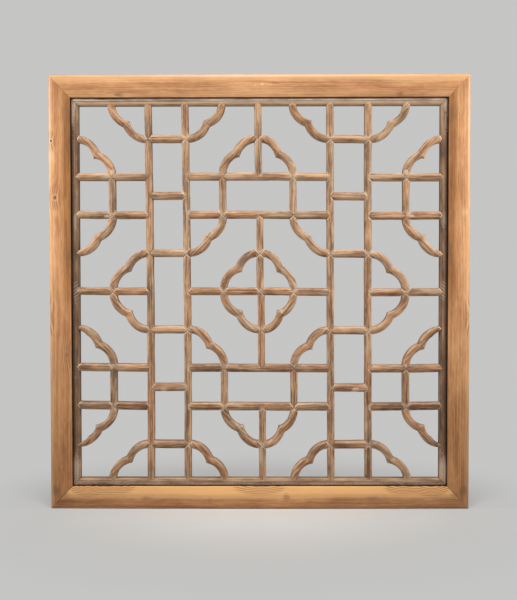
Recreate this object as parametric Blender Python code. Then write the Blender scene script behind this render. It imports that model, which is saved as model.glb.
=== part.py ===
"""Wooden wall screen: an old lattice of round-faced sticks, set in a broad mitred frame.

The screen is laid out flat on its back, as on a bench: x runs across it, y up it, and z from its back to
its face. The bench then stands it up, so that in the finished model +Z is up and the face looks along -Y.
The origin is on the back of the frame, at the middle of the top rail, where the screen is fixed to a wall.
"""

import math
from dataclasses import dataclass

import bmesh
import bpy
from mathutils import Matrix, Vector

# Outer frame
OUTER_WIDTH = 0.900
OUTER_HEIGHT = 0.9311
STILE_WIDTH = 0.0459
RAIL_WIDTH = 0.0482
FRAME_DEPTH = 0.034
OUTER_ROUND_WIDTH = 0.010
OUTER_ROUND_FALL = 0.006
INNER_ROUND_WIDTH = 0.014
INNER_ROUND_FALL = 0.003
ROUND_FACETS = 4

# Lattice sticks
UPRIGHT_WIDTH = 0.015
CROSSBAR_WIDTH = 0.0165
CURVE_WIDTH = 0.0158
BORDER_WIDTH = 0.0155
STICK_DEPTH = 0.022
CROWN_RISE = 0.005
CROWN_FACETS = 4

# How the lattice sits in the frame, by a tongue on its border in a groove of the frame
LATTICE_RECESS = 0.006
PANEL_GAP = 0.0018
TONGUE_REACH = 0.0055
TONGUE_THICKNESS = 0.008
GROOVE_SPARE = 0.0012

# Spacing of the uprights, outwards from the middle; the two side bays share what is left
CENTRE_BAY = 0.0745
PANEL_BAY = 0.0784
LADDER_BAY = 0.0798

# The centre uprights stand a little out of line, as they were set by hand
TOP_UPRIGHT_SHIFT = -0.0013
UPPER_UPRIGHT_SHIFT = 0.0022
LOWER_UPRIGHT_SHIFT = 0.0043
BOTTOM_UPRIGHT_SHIFT = 0.0056

# Curved sticks: two lobes that meet in a cusp
LOBE_ANGLE = math.radians(74)
LOBE_FACETS = 5
CURVE_STRAIGHT_RUN = 0.004

# Joints: the round face of a stick ends in a point, let into the round face of the stick that carries it
FIT = 0.0003
POINT_BELOW_SHOULDER = 0.002
POINT_SHORT_OF_MIDDLE = 0.0008
CUTTER_SPARE = 0.002

# The grid that the sticks follow has lines 0 to 10 each way: columns from the left, rows from the top
LAST_LINE = 10
MIDDLE_LINE = 5
BORDER_COLUMN, SHORT_COLUMN, OUTER_COLUMN, INNER_COLUMN, PANEL_COLUMN = range(MIDDLE_LINE)
RUNG_ROWS = (1, 2.5, 4, 6, 7.5, 9)
CROSSBAR_ROWS = {"top": 2, "upper": 3, "lower": 7, "bottom": 8}
SIDE_PAIR_ROWS = {"upper": (2, 3), "lower": (7, 8)}
CENTRE_UPRIGHTS = {
    "top": (0, 2, TOP_UPRIGHT_SHIFT),
    "upper": (3, MIDDLE_LINE, UPPER_UPRIGHT_SHIFT),
    "lower": (MIDDLE_LINE, 7, LOWER_UPRIGHT_SHIFT),
    "bottom": (8, LAST_LINE, BOTTOM_UPRIGHT_SHIFT),
}

# The curved sticks of the upper left quarter, each from an upright to a crossbar, as (column, row) pairs
CURVES = {
    "head_curve_outer": ((OUTER_COLUMN, 1), (SHORT_COLUMN, 0)),
    "head_curve_inner": ((INNER_COLUMN, 1), (PANEL_COLUMN, 0)),
    "side_curve_outer": ((BORDER_COLUMN, 1), (SHORT_COLUMN, 2)),
    "side_curve_inner": ((BORDER_COLUMN, 4), (SHORT_COLUMN, 3)),
    "side_medallion": ((OUTER_COLUMN, 4), (SHORT_COLUMN, MIDDLE_LINE)),
    "panel_curve_outer": ((MIDDLE_LINE, 1), (PANEL_COLUMN, 2)),
    "panel_curve_inner": ((INNER_COLUMN, 4), (PANEL_COLUMN, 3)),
    "centre_medallion": ((MIDDLE_LINE, 4), (PANEL_COLUMN, MIDDLE_LINE)),
}

# Colour and roughness of the three kinds of wood
WOODS = {
    "frame_wood": ((0.56, 0.30, 0.125, 1.0), 0.50),
    "stick_wood": ((0.38, 0.225, 0.125, 1.0), 0.65),
    "border_wood": ((0.30, 0.21, 0.135, 1.0), 0.75),
}

# Sizes that follow from those above
SHOULDER = STICK_DEPTH - CROWN_RISE
POINT_FLOOR = SHOULDER - POINT_BELOW_SHOULDER
TONGUE_BACK = (SHOULDER - TONGUE_THICKNESS) / 2
TONGUE_FRONT = TONGUE_BACK + TONGUE_THICKNESS
LATTICE_BACK = FRAME_DEPTH - LATTICE_RECESS - STICK_DEPTH
FRAME_TOP = RAIL_WIDTH / 2
FRAME_BOTTOM = FRAME_TOP - OUTER_HEIGHT
OPENING_HALF_WIDTH = OUTER_WIDTH / 2 - STILE_WIDTH
OPENING_TOP = FRAME_TOP - RAIL_WIDTH
OPENING_BOTTOM = FRAME_BOTTOM + RAIL_WIDTH
PANEL_HALF_WIDTH = OPENING_HALF_WIDTH - PANEL_GAP
PANEL_TOP = OPENING_TOP - PANEL_GAP
PANEL_BOTTOM = OPENING_BOTTOM + PANEL_GAP
TOP_ROW = PANEL_TOP - BORDER_WIDTH / 2
ROW_PITCH = (PANEL_TOP - PANEL_BOTTOM - BORDER_WIDTH) / LAST_LINE
SIDE_BAY = (PANEL_HALF_WIDTH - BORDER_WIDTH / 2 - CENTRE_BAY - PANEL_BAY - LADDER_BAY) / 2
BAYS = (CENTRE_BAY, PANEL_BAY, LADDER_BAY, SIDE_BAY, SIDE_BAY)


@dataclass(eq=False)
class Stick:
    """One stick of the lattice: it runs from the middle of what carries one end to the middle of the other.

    A stick with end planes ends on those, each a point and a normal, and nothing carries it.
    """

    width: float
    path: list
    section: list
    end_planes: tuple = None

    def ends(self):
        """Each carried end's point, and the way in which the stick runs into its carrier there."""
        if self.end_planes:
            return []
        ways = ((self.path[0], self.path[1]), (self.path[-1], self.path[-2]))
        return [(end, (end - before).normalized()) for end, before in ways]

    def carries(self, point, way):
        """Whether a stick that runs in this way ends at this point of this stick."""
        if len(self.path) > 2:
            return False
        start, finish = self.path
        length = (finish - start).length
        heading = (finish - start) / length
        along = (point - start).dot(heading)
        aside = (point - start - along * heading).length
        return max(abs(heading.dot(way)), aside) < FIT / 2 and 0 < along < length


@dataclass(eq=False)
class Joint:
    """A stick's end on the stick that carries it."""

    coming: Stick
    carrier: Stick
    point: Vector
    way: Vector

    def placement(self):
        """Where a cutter goes that was made for a stick that comes along +x to a carrier at x = 0."""
        turn = Matrix.Rotation(math.atan2(self.way.y, self.way.x), 4, "Z")
        return Matrix.Translation(self.point.to_3d()) @ turn


def column_x(column):
    """The x of a column line."""
    steps = column - MIDDLE_LINE
    return math.copysign(sum(BAYS[: abs(steps)]), steps)


def row_y(row):
    """The y of a row line."""
    return TOP_ROW - row * ROW_PITCH


def grid_point(column, row):
    """A point of the grid, on the centre upright itself where the column is the middle one."""
    x = column_x(column)
    for first, last, shift in CENTRE_UPRIGHTS.values():
        if column == MIDDLE_LINE and first < row < last:
            x += shift
    return Vector((x, row_y(row)))


def mirrored(line, flip):
    """A grid line's number, reflected in the middle line if flip is set."""
    return LAST_LINE - line if flip else line


def ellipse_points(centre, radii, first, last, facets):
    """Points along part of an ellipse, between two angles."""
    angles = [first + (last - first) * step / facets for step in range(facets + 1)]
    return [
        (centre[0] + radii[0] * math.cos(angle), centre[1] + radii[1] * math.sin(angle))
        for angle in angles
    ]


def crown(width):
    """The round face of a stick's section, from its left shoulder to its right one."""
    return ellipse_points((0, SHOULDER), (width / 2, CROWN_RISE), math.pi, 0, CROWN_FACETS)


def stick_section(width):
    """The section of a stick, as (left, height): a flat back, square sides and a round face."""
    return [(-width / 2, 0), *crown(width), (width / 2, 0)]


def border_section(width):
    """A stick's section with a tongue on its left side, which is the outer side of the lattice."""
    edge = width / 2
    tongue = [
        (edge, TONGUE_FRONT),
        (edge + TONGUE_REACH, TONGUE_FRONT),
        (edge + TONGUE_REACH, TONGUE_BACK),
        (edge, TONGUE_BACK),
    ]
    return [(-edge, 0), *crown(width), *tongue, (edge, 0)]


def frame_section(width):
    """The section of a stile or rail, whose outer edge is at 0 and whose grooved inner edge is at -width."""
    inner_round = ellipse_points(
        (-width + INNER_ROUND_WIDTH, FRAME_DEPTH - INNER_ROUND_FALL),
        (INNER_ROUND_WIDTH, INNER_ROUND_FALL),
        math.pi,
        math.pi / 2,
        ROUND_FACETS,
    )
    outer_round = ellipse_points(
        (-OUTER_ROUND_WIDTH, FRAME_DEPTH - OUTER_ROUND_FALL),
        (OUTER_ROUND_WIDTH, OUTER_ROUND_FALL),
        math.pi / 2,
        0,
        ROUND_FACETS,
    )
    groove_end = -width + TONGUE_REACH - PANEL_GAP + GROOVE_SPARE
    groove_back = LATTICE_BACK + TONGUE_BACK - FIT
    groove_front = LATTICE_BACK + TONGUE_FRONT + FIT
    groove = [
        (-width, groove_back),
        (groove_end, groove_back),
        (groove_end, groove_front),
        (-width, groove_front),
    ]
    return [(-width, 0), *groove, *inner_round, *outer_round, (0, 0)]


def extruded_face(edited, face, place):
    """Extrudes a face, moves each corner of the new one to where place puts it, and gives the new face."""
    made = bmesh.ops.extrude_face_region(edited, geom=[face, *face.edges])["geom"]
    for corner in made:
        if isinstance(corner, bmesh.types.BMVert):
            corner.co = place(corner.co)
    return next(item for item in made if isinstance(item, bmesh.types.BMFace))


def turned_out(edited):
    """Makes the faces of one closed body point out."""
    bmesh.ops.recalc_face_normals(edited, faces=edited.faces)
    if edited.calc_volume(signed=True) < 0:
        bmesh.ops.reverse_faces(edited, faces=edited.faces)


def finished_mesh(name, edited):
    """The mesh of what was edited, which is then freed."""
    mesh = bpy.data.meshes.new(name)
    edited.to_mesh(mesh)
    edited.free()
    return mesh


def prism(name, outline, low, high):
    """The mesh of an outline on the bench, raised from one height to another."""
    edited = bmesh.new()
    base = edited.faces.new([edited.verts.new((x, y, low)) for x, y in outline])
    extruded_face(edited, base, lambda corner: Vector((corner.x, corner.y, high)))
    turned_out(edited)
    return finished_mesh(name, edited)


def slid(corner, heading, plane):
    """Where a corner that moves along a heading meets an upright plane."""
    point, normal = plane
    distance = (point - corner.xy).dot(normal) / heading.dot(normal)
    return corner + distance * heading.to_3d()


def swept(name, section, path, end_planes=None):
    """The mesh of a section carried along a path on the bench, with a true mitre at each bend.

    The section's first coordinate is measured to the left of the path, and its second one upwards. It is
    extruded from bend to bend, and each time its corners go straight on to the plane that halves the bend.
    """
    headings = [(after - before).normalized() for before, after in zip(path, path[1:])]
    square_ends = ((path[0], headings[0]), (path[-1], headings[-1]))
    first_plane, last_plane = end_planes or square_ends
    bend_normals = [(before + after).normalized() for before, after in zip(headings, headings[1:])]
    planes = [*zip(path[1:-1], bend_normals), last_plane]
    left = Vector((-headings[0].y, headings[0].x))
    corners = [(path[0] + across * left).to_3d() + Vector((0, 0, height)) for across, height in section]
    edited = bmesh.new()
    face = edited.faces.new([edited.verts.new(slid(corner, headings[0], first_plane)) for corner in corners])
    for heading, plane in zip(headings, planes):
        face = extruded_face(edited, face, lambda corner: slid(corner, heading, plane))
    turned_out(edited)
    return finished_mesh(name, edited)


def ring_corners(half_width, top, bottom):
    """The corners of an upright rectangle, clockwise from its lower left one."""
    return [
        Vector((x, y))
        for x, y in ((-half_width, bottom), (-half_width, top), (half_width, top), (half_width, bottom))
    ]


def mitre_plane(outer_corner, inner_corner, heading, side):
    """The plane on which a bar of a ring ends, half a fit from the line between the ring's corners."""
    line = inner_corner - outer_corner
    normal = Vector((line.y, -line.x)).normalized()
    if normal.dot(heading) < 0:
        normal.negate()
    return outer_corner + side * normal * FIT / 2, normal


def ring_bars(outer, inner, middle_share):
    """The path and the end planes of each of a ring's four bars, clockwise from its left one.

    The path runs between the ring's outer and inner corners, at middle_share of the way inwards.
    """
    bars = []
    for index in range(len(outer)):
        following = (index + 1) % len(outer)
        path = [outer[corner].lerp(inner[corner], middle_share) for corner in (index, following)]
        heading = (path[1] - path[0]).normalized()
        end_planes = (
            mitre_plane(outer[index], inner[index], heading, 1),
            mitre_plane(outer[following], inner[following], heading, -1),
        )
        bars.append((path, end_planes))
    return bars


def frame_meshes():
    """The two stiles and two rails, by name."""
    outer = ring_corners(OUTER_WIDTH / 2, FRAME_TOP, FRAME_BOTTOM)
    inner = ring_corners(OPENING_HALF_WIDTH, OPENING_TOP, OPENING_BOTTOM)
    names = ("frame_stile_left", "frame_rail_top", "frame_stile_right", "frame_rail_bottom")
    widths = (STILE_WIDTH, RAIL_WIDTH, STILE_WIDTH, RAIL_WIDTH)
    return {
        name: swept(name, frame_section(width), path, end_planes)
        for name, width, (path, end_planes) in zip(names, widths, ring_bars(outer, inner, 0))
    }


def border_sticks():
    """The four bars round the lattice, by name."""
    outer = ring_corners(PANEL_HALF_WIDTH, PANEL_TOP, PANEL_BOTTOM)
    inner = ring_corners(
        PANEL_HALF_WIDTH - BORDER_WIDTH, PANEL_TOP - BORDER_WIDTH, PANEL_BOTTOM + BORDER_WIDTH
    )
    names = ("border_left", "border_top", "border_right", "border_bottom")
    return {
        name: [Stick(BORDER_WIDTH, path, border_section(BORDER_WIDTH), end_planes)]
        for name, (path, end_planes) in zip(names, ring_bars(outer, inner, 0.5))
    }


def upright(x, rows):
    """A straight stick that runs up the lattice between two rows."""
    return Stick(UPRIGHT_WIDTH, [Vector((x, row_y(row))) for row in rows], stick_section(UPRIGHT_WIDTH))


def crossbar(columns, row):
    """A straight stick that runs across the lattice between two columns."""
    path = [Vector((column_x(column), row_y(row))) for column in columns]
    return Stick(CROSSBAR_WIDTH, path, stick_section(CROSSBAR_WIDTH))


def curve_path(start, end):
    """The middle line of a curved stick.

    It leaves its upright square, turns through one lobe to the cusp, and then through a second lobe, the
    first one turned about, to meet its crossbar square.
    """
    reach = end - start
    spans = [abs(reach.x) - CURVE_STRAIGHT_RUN, abs(reach.y) - CURVE_STRAIGHT_RUN]
    radii = [span / (math.sin(LOBE_ANGLE) + 1 - math.cos(LOBE_ANGLE)) for span in spans]
    turns = [LOBE_ANGLE * step / LOBE_FACETS for step in range(LOBE_FACETS + 1)]
    first_lobe = [(radii[0] * math.sin(turn), radii[1] * (1 - math.cos(turn))) for turn in turns]
    second_lobe = [
        (spans[0] - radii[0] * (1 - math.cos(turn)), spans[1] - radii[1] * math.sin(turn))
        for turn in reversed(turns[:-1])
    ]
    bends = [
        start + Vector((math.copysign(CURVE_STRAIGHT_RUN + x, reach.x), math.copysign(y, reach.y)))
        for x, y in first_lobe + second_lobe
    ]
    return [start, *bends, end]


def curved_sticks():
    """The curved sticks, by name: each one of the upper left quarter, with its three reflections."""
    sticks = {}
    for name, ends in CURVES.items():
        for side in ("left", "right"):
            for level in ("upper", "lower"):
                points = [
                    grid_point(mirrored(column, side == "right"), mirrored(row, level == "lower"))
                    for column, row in ends
                ]
                stick = Stick(CURVE_WIDTH, curve_path(*points), stick_section(CURVE_WIDTH))
                sticks[f"{name}_{level}_{side}"] = [stick]
    return sticks


def side_sticks(side):
    """The straight sticks of one side, by the name of the solid that they belong to.

    A ladder is a pair of full-height uprights with their rungs, and a side group is two side bars with the
    short upright between them.
    """
    border, short, outer, inner, panel = [
        mirrored(column, side == "right")
        for column in (BORDER_COLUMN, SHORT_COLUMN, OUTER_COLUMN, INNER_COLUMN, PANEL_COLUMN)
    ]
    rungs = [crossbar((outer, inner), row) for row in RUNG_ROWS]
    full_height = (0, LAST_LINE)
    groups = {
        f"ladder_{side}": [
            upright(column_x(outer), full_height),
            upright(column_x(inner), full_height),
            *rungs,
        ],
        f"side_bar_middle_{side}": [crossbar((border, outer), MIDDLE_LINE)],
    }
    for level, rows in SIDE_PAIR_ROWS.items():
        bars = [crossbar((border, outer), row) for row in rows]
        groups[f"side_group_{level}_{side}"] = [*bars, upright(column_x(short), rows)]
        groups[f"short_upright_{level}_{side}"] = [upright(column_x(panel), rows)]
    return groups


def centre_sticks():
    """The straight sticks between the ladders, by the name of the solid that they belong to."""
    columns = (INNER_COLUMN, mirrored(INNER_COLUMN, True))
    uprights = {
        level: upright(shift, (first, last)) for level, (first, last, shift) in CENTRE_UPRIGHTS.items()
    }
    groups = {f"crossbar_{level}": [crossbar(columns, row)] for level, row in CROSSBAR_ROWS.items()}
    groups["centre_cross"] = [crossbar(columns, MIDDLE_LINE), uprights["upper"], uprights["lower"]]
    groups["centre_upright_top"] = [uprights["top"]]
    groups["centre_upright_bottom"] = [uprights["bottom"]]
    return groups


def found_joints(sticks):
    """Every joint of a stick's end with the stick that carries it."""
    return [
        Joint(coming, carrier, point, way)
        for coming in sticks
        for point, way in coming.ends()
        for carrier in sticks
        if carrier is not coming and carrier.carries(point, way)
    ]


def wedge(joint, grow, top):
    """The point of a coming stick on its carrier, as a prism, with its sides moved out by grow."""
    half_width = joint.coming.width / 2
    carrier_half = joint.carrier.width / 2
    slope = half_width / (carrier_half - POINT_SHORT_OF_MIDDLE)
    tip = grow * math.hypot(1, slope) / slope - POINT_SHORT_OF_MIDDLE
    back = -carrier_half - CUTTER_SPARE
    spread = (tip - back) * slope
    return prism("wedge", [(back, -spread), (tip, 0), (back, spread)], POINT_FLOOR - grow, top)


def notch_cutter(joint):
    """What is cut out of the carrier, so that the coming stick's point goes in with its clearance."""
    return wedge(joint, FIT, STICK_DEPTH + CUTTER_SPARE)


def end_cutter(joint):
    """What is cut off the coming stick's end: all that reaches its carrier, but for the point."""
    side = joint.coming.width / 2 + CUTTER_SPARE
    start = -joint.carrier.width / 2 - FIT
    outline = [(start, -side), (CUTTER_SPARE, -side), (CUTTER_SPARE, side), (start, side)]
    block = prism("end_block", outline, -CUTTER_SPARE, STICK_DEPTH + CUTTER_SPARE)
    point = wedge(joint, 0, STICK_DEPTH + 2 * CUTTER_SPARE)
    return combined("end_cutter", [block, point], "DIFFERENCE")


def combined(name, meshes, operation):
    """The mesh that a Boolean makes of a first mesh and each of the others in turn."""
    helpers = [bpy.data.objects.new(name, mesh) for mesh in meshes]
    for helper in helpers:
        bpy.context.scene.collection.objects.link(helper)
    for other in helpers[1:]:
        modifier = helpers[0].modifiers.new(operation.lower(), "BOOLEAN")
        modifier.operation = operation
        modifier.object = other
    depsgraph = bpy.context.evaluated_depsgraph_get()
    result = bpy.data.meshes.new_from_object(helpers[0].evaluated_get(depsgraph))
    for helper in helpers:
        mesh = helper.data
        bpy.data.objects.remove(helper)
        bpy.data.meshes.remove(mesh)
    return result


def carried_ends_shortened(stick, joints):
    """The stick's path, ended just short of the middle of each carrier that is one solid with it."""
    path = list(stick.path)
    for joint in joints:
        index = 0 if joint.point == path[0] else -1
        path[index] = joint.point - POINT_SHORT_OF_MIDDLE * joint.way
    return path


def group_mesh(name, sticks, joints):
    """The sticks of one solid, before its joints with its neighbours are cut."""
    meshes = []
    for stick in sticks:
        inner_joints = [joint for joint in joints if joint.coming is stick and joint.carrier in sticks]
        path = carried_ends_shortened(stick, inner_joints)
        meshes.append(swept(name, stick.section, path, stick.end_planes))
    return combined(name, meshes, "UNION") if len(meshes) > 1 else meshes[0]


def joint_cutters(name, sticks, joints):
    """One mesh of all that is cut from a solid for its joints with its neighbours."""
    edited = bmesh.new()
    for joint in joints:
        if joint.coming in sticks and joint.carrier in sticks:
            continue
        if joint.coming in sticks:
            cutter = end_cutter(joint)
        elif joint.carrier in sticks:
            cutter = notch_cutter(joint)
        else:
            continue
        cutter.transform(joint.placement())
        edited.from_mesh(cutter)
        bpy.data.meshes.remove(cutter)
    return finished_mesh(name, edited)


def wood(name):
    """One of the three kinds of wood."""
    colour, roughness = WOODS[name]
    material = bpy.data.materials.new(name)
    material.use_nodes = True
    shader = material.node_tree.nodes["Principled BSDF"]
    shader.inputs["Base Color"].default_value = colour
    shader.inputs["Roughness"].default_value = roughness
    shader.inputs["Metallic"].default_value = 0.0
    material.diffuse_color = colour
    return material


def placed(name, mesh, parent, height, collection):
    """An object that lies on the bench, at a height above it."""
    item = bpy.data.objects.new(name, mesh)
    item.parent = parent
    item.location.z = height
    collection.objects.link(item)
    return item


def new_collection(name):
    """A new collection of the scene."""
    collection = bpy.data.collections.new(name)
    bpy.context.scene.collection.children.link(collection)
    return collection


def main():
    """Builds the screen on its bench and stands it up."""
    for item in list(bpy.data.objects):
        bpy.data.objects.remove(item)
    parts = new_collection("wooden_wall_screen")
    cutters = new_collection("cutters")
    woods = {name: wood(name) for name in WOODS}
    bench = bpy.data.objects.new("bench", None)
    bench.rotation_euler.x = math.radians(90)
    parts.objects.link(bench)

    for name, mesh in frame_meshes().items():
        part = placed(name, mesh, bench, 0, parts)
        part.data.materials.append(woods["frame_wood"])

    borders = border_sticks()
    groups = {**borders, **side_sticks("left"), **side_sticks("right"), **centre_sticks(), **curved_sticks()}
    joints = found_joints([stick for sticks in groups.values() for stick in sticks])
    for name, sticks in groups.items():
        part = placed(name, group_mesh(name, sticks, joints), bench, LATTICE_BACK, parts)
        part.data.materials.append(woods["border_wood" if name in borders else "stick_wood"])
        cutter = placed(f"{name}_cutter", joint_cutters(name, sticks, joints), bench, LATTICE_BACK, cutters)
        cutter.hide_render = True
        cutter.display_type = "WIRE"
        modifier = part.modifiers.new("joints", "BOOLEAN")
        modifier.operation = "DIFFERENCE"
        modifier.object = cutter


main()
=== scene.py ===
"""Looks of an old wooden lattice screen: round-faced sticks and cusped curves in a broad mitred frame.

Lengths are metres. A point in plan is (x, z), x across the screen and z up it. Height is measured from the
back of the frame towards its face, which looks along -Y.
"""

import logging
import math
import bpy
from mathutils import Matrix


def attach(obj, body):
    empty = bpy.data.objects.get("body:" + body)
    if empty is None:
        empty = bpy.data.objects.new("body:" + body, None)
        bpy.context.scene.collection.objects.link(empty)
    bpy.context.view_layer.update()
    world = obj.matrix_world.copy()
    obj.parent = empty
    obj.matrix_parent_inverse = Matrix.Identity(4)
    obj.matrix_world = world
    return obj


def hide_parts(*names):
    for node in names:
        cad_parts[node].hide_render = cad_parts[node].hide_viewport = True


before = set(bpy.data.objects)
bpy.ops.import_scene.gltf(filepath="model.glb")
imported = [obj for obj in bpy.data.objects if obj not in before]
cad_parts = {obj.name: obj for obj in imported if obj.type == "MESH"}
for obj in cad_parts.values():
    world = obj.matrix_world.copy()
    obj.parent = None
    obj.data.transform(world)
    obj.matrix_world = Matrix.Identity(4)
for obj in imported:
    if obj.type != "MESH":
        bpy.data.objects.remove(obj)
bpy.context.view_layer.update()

import zlib
from collections.abc import Iterable, Sequence
from dataclasses import dataclass, field, replace
from enum import Enum

import bpy
import numpy as np
from mathutils import Matrix
from numpy.polynomial.polynomial import polyval2d

Array = np.ndarray
Point = tuple[float, float]
Triple = tuple[float, float, float]
Colour = Triple
GridPoint = tuple[int, int]

LOG = logging.getLogger("screen")
MM = 0.001
FAR = 99.0  # a distance in mm past all that happens near a joint
TIMBER = (40.0, 7.0, 7.0)  # how far along, across and into its own timber a piece may lie


class Half(Enum):
    """One of two halves of the screen."""

    @property
    def word(self) -> str:
        """Its name in a piece's name."""
        return self.name.lower()


class Side(Half):
    """The left and the right half, as seen from the front."""

    LEFT = 0
    RIGHT = 1


class Level(Half):
    """The upper and the lower half."""

    UPPER = 0
    LOWER = 1


class Carrier(Enum):
    """What a stick's end is let into, with its half width."""

    BORDER = 0.00775
    UPRIGHT = 0.0075
    CROSSBAR = 0.00825


class SpotKind(Enum):
    """What a spot on the wood is."""

    KNOT = "a dark knot with a pale ring"
    STAIN = "an old brown stain"
    PALE = "bare or bleached wood"
    WORN = "a worn grey patch"
    HOLE = "a small dark hole"
    HATCH = "pale tool marks, aslant"


KNOT, STAIN, PALE, WORN, HOLE, HATCH = SpotKind


@dataclass(frozen=True)
class Spot:
    """A spot on the wood at a place in plan.

    Attributes:
        place: The middle of the spot.
        size: How far it reaches across and up.
        kind: What it is.
        strength: How strong it is in its middle.
        twin: Whether the other side of the screen has one too.
    """

    place: Point
    size: Point
    kind: SpotKind
    strength: float = 1.0
    twin: bool = False


FRAME_SPOTS = (
    Spot((-0.4441, -0.1166), (0.0036, 0.0044), KNOT, 1.0),
    Spot((-0.4365, -0.2375), (0.0052, 0.0062), KNOT, 0.65),
    Spot((-0.4136, -0.5743), (0.0048, 0.0075), KNOT, 0.25),
    Spot((-0.4214, -0.8226), (0.0018, 0.0022), HOLE, 0.6),
    Spot((-0.4120, -0.0590), (0.0110, 0.0330), STAIN, 0.55, True),
    Spot((-0.4075, -0.1220), (0.0075, 0.0420), STAIN, 0.40, True),
    Spot((-0.4070, -0.3610), (0.0070, 0.0340), STAIN, 0.75, True),
    Spot((-0.4224, -0.7850), (0.0075, 0.0700), STAIN, 0.50, True),
    Spot((-0.4375, -0.8670), (0.0120, 0.0170), STAIN, 0.85, True),
    Spot((-0.4190, -0.8770), (0.0120, 0.0110), STAIN, 0.45, True),
    Spot((-0.2995, -0.0190), (0.0130, 0.0060), STAIN, 0.80, True),
    Spot((-0.1190, -0.0020), (0.0700, 0.0040), STAIN, 0.35, True),
    Spot((0.0300, 0.0050), (0.0190, 0.0028), STAIN, 0.75),
    Spot((-0.2446, -0.8835), (0.0160, 0.0060), STAIN, 0.50, True),
    Spot((0.0579, -0.8810), (0.0090, 0.0100), STAIN, 0.60),
    Spot((-0.1067, -0.8890), (0.0060, 0.0100), STAIN, 0.35),
    Spot((-0.0075, 0.0014), (0.0030, 0.0022), PALE, 0.80),
    Spot((0.0062, 0.0024), (0.0050, 0.0024), PALE, 0.95),
    Spot((0.0250, 0.0024), (0.0055, 0.0022), PALE, 0.85),
    Spot((-0.4365, -0.2700), (0.0070, 0.0120), PALE, 0.35, True),
    Spot((0.4430, -0.2703), (0.0018, 0.0120), PALE, 0.95),
    Spot((-0.4445, -0.4450), (0.0028, 0.0900), PALE, 0.55, True),
)
STICK_SPOTS = (
    Spot((-0.0373, -0.3729), (0.0120, 0.0150), WORN, 0.65),
    Spot((0.0479, -0.4812), (0.0030, 0.0055), PALE, 0.55),
    Spot((0.0025, -0.4445), (0.0017, 0.0017), HOLE, 1.00),
    Spot((-0.2058, -0.6492), (0.0078, 0.0040), PALE, 0.85, True),
    Spot((-0.3250, -0.2774), (0.0070, 0.0035), PALE, 0.80, True),
    Spot((-0.3140, -0.1836), (0.0050, 0.0070), PALE, 0.75, True),
    Spot((-0.3140, -0.5980), (0.0040, 0.0040), PALE, 0.60, True),
    Spot((0.0871, -0.1935), (0.0110, 0.0045), WORN, 0.70),
    Spot((-0.0197, -0.1930), (0.0120, 0.0045), WORN, 0.60),
    Spot((-0.2780, -0.3780), (0.0100, 0.0150), WORN, 0.45, True),
)
BORDER_SPOTS = (
    Spot((-0.3925, -0.3021), (0.0016, 0.0016), PALE, 1.00, True),
    Spot((-0.3940, -0.2860), (0.0060, 0.0200), WORN, 0.60, True),
    Spot((-0.3940, -0.4370), (0.0080, 0.0280), HATCH, 0.80, True),
    Spot((-0.3955, -0.8170), (0.0060, 0.0300), PALE, 0.80, True),
    Spot((-0.3950, -0.0420), (0.0060, 0.0130), PALE, 0.60, True),
)
FLAMES = (
    Spot((-0.3700, -0.8590), (0.0260, 0.0140), KNOT, 1.0, True),
    Spot((-0.3100, -0.8590), (0.0300, 0.0120), KNOT, 0.7, True),
    Spot((0.0009, -0.8590), (0.0380, 0.0120), KNOT, 0.8),
    Spot((-0.4520, -0.4900), (0.0100, 0.0360), KNOT, 0.7, True),
)


@dataclass(frozen=True)
class Layout:
    """The sizes that the screen is set out by, as the CAD has them."""

    half_width: float = 0.450
    top: float = 0.0241
    bottom: float = -0.9070
    stile_width: float = 0.0459
    rail_width: float = 0.0482
    frame_depth: float = 0.034
    stick_depth: float = 0.022
    crown_rise: float = 0.005
    lattice_back: float = 0.006
    panel_gap: float = 0.0018
    border_width: float = 0.0155
    upright_width: float = 0.015
    crossbar_width: float = 0.0165
    curve_width: float = 0.0158
    tongue_reach: float = 0.0055
    tongue_back: float = 0.0045
    tongue_front: float = 0.0125
    inner_bays: tuple[float, ...] = (0.0745, 0.0784, 0.0798)
    last_line: int = 10

    @property
    def shoulder(self) -> float:
        """The height of a stick's shoulder above its back."""
        return self.stick_depth - self.crown_rise

    @property
    def opening(self) -> Triple:
        """The frame opening's half width, top and bottom."""
        return (self.half_width - self.stile_width, self.top - self.rail_width, self.bottom + self.rail_width)

    @property
    def panel(self) -> Triple:
        """The lattice panel's half width, top and bottom."""
        half_width, top, bottom = self.opening
        return half_width - self.panel_gap, top - self.panel_gap, bottom + self.panel_gap

    @property
    def row_pitch(self) -> float:
        """The distance between two rows of the grid."""
        _, top, bottom = self.panel
        return (top - bottom - self.border_width) / self.last_line

    def row(self, line: float) -> float:
        """The z of a row line, counted from the top."""
        return self.panel[1] - self.border_width / 2 - line * self.row_pitch

    def column(self, line: int) -> float:
        """The x of a column line: the bays narrow from the sides to the middle.

        Args:
            line: The line's number, counted from the left.

        Returns:
            Its x.
        """
        steps = line - self.last_line // 2
        side_bay = (self.panel[0] - self.border_width / 2 - sum(self.inner_bays)) / 2
        bays = (*self.inner_bays, side_bay, side_bay)
        return math.copysign(sum(bays[: abs(steps)]), steps)


LAYOUT = Layout()
BORDER_LINE, SHORT_LINE, OUTER_LINE, INNER_LINE, PANEL_LINE, MIDDLE_LINE = range(6)


def own_table(rows: dict) -> dict:
    """A dataclass field that starts as these rows."""
    return field(default_factory=lambda: dict(rows))


def mirrored(line: float, flip: bool) -> float:
    """A grid line's number, reflected in the middle line if flip is set."""
    return LAYOUT.last_line - line if flip else line


def seeded(name: str) -> np.random.Generator:
    """The random numbers that belong to a piece, the same in each run."""
    return np.random.default_rng(zlib.crc32(name.encode()))


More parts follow.
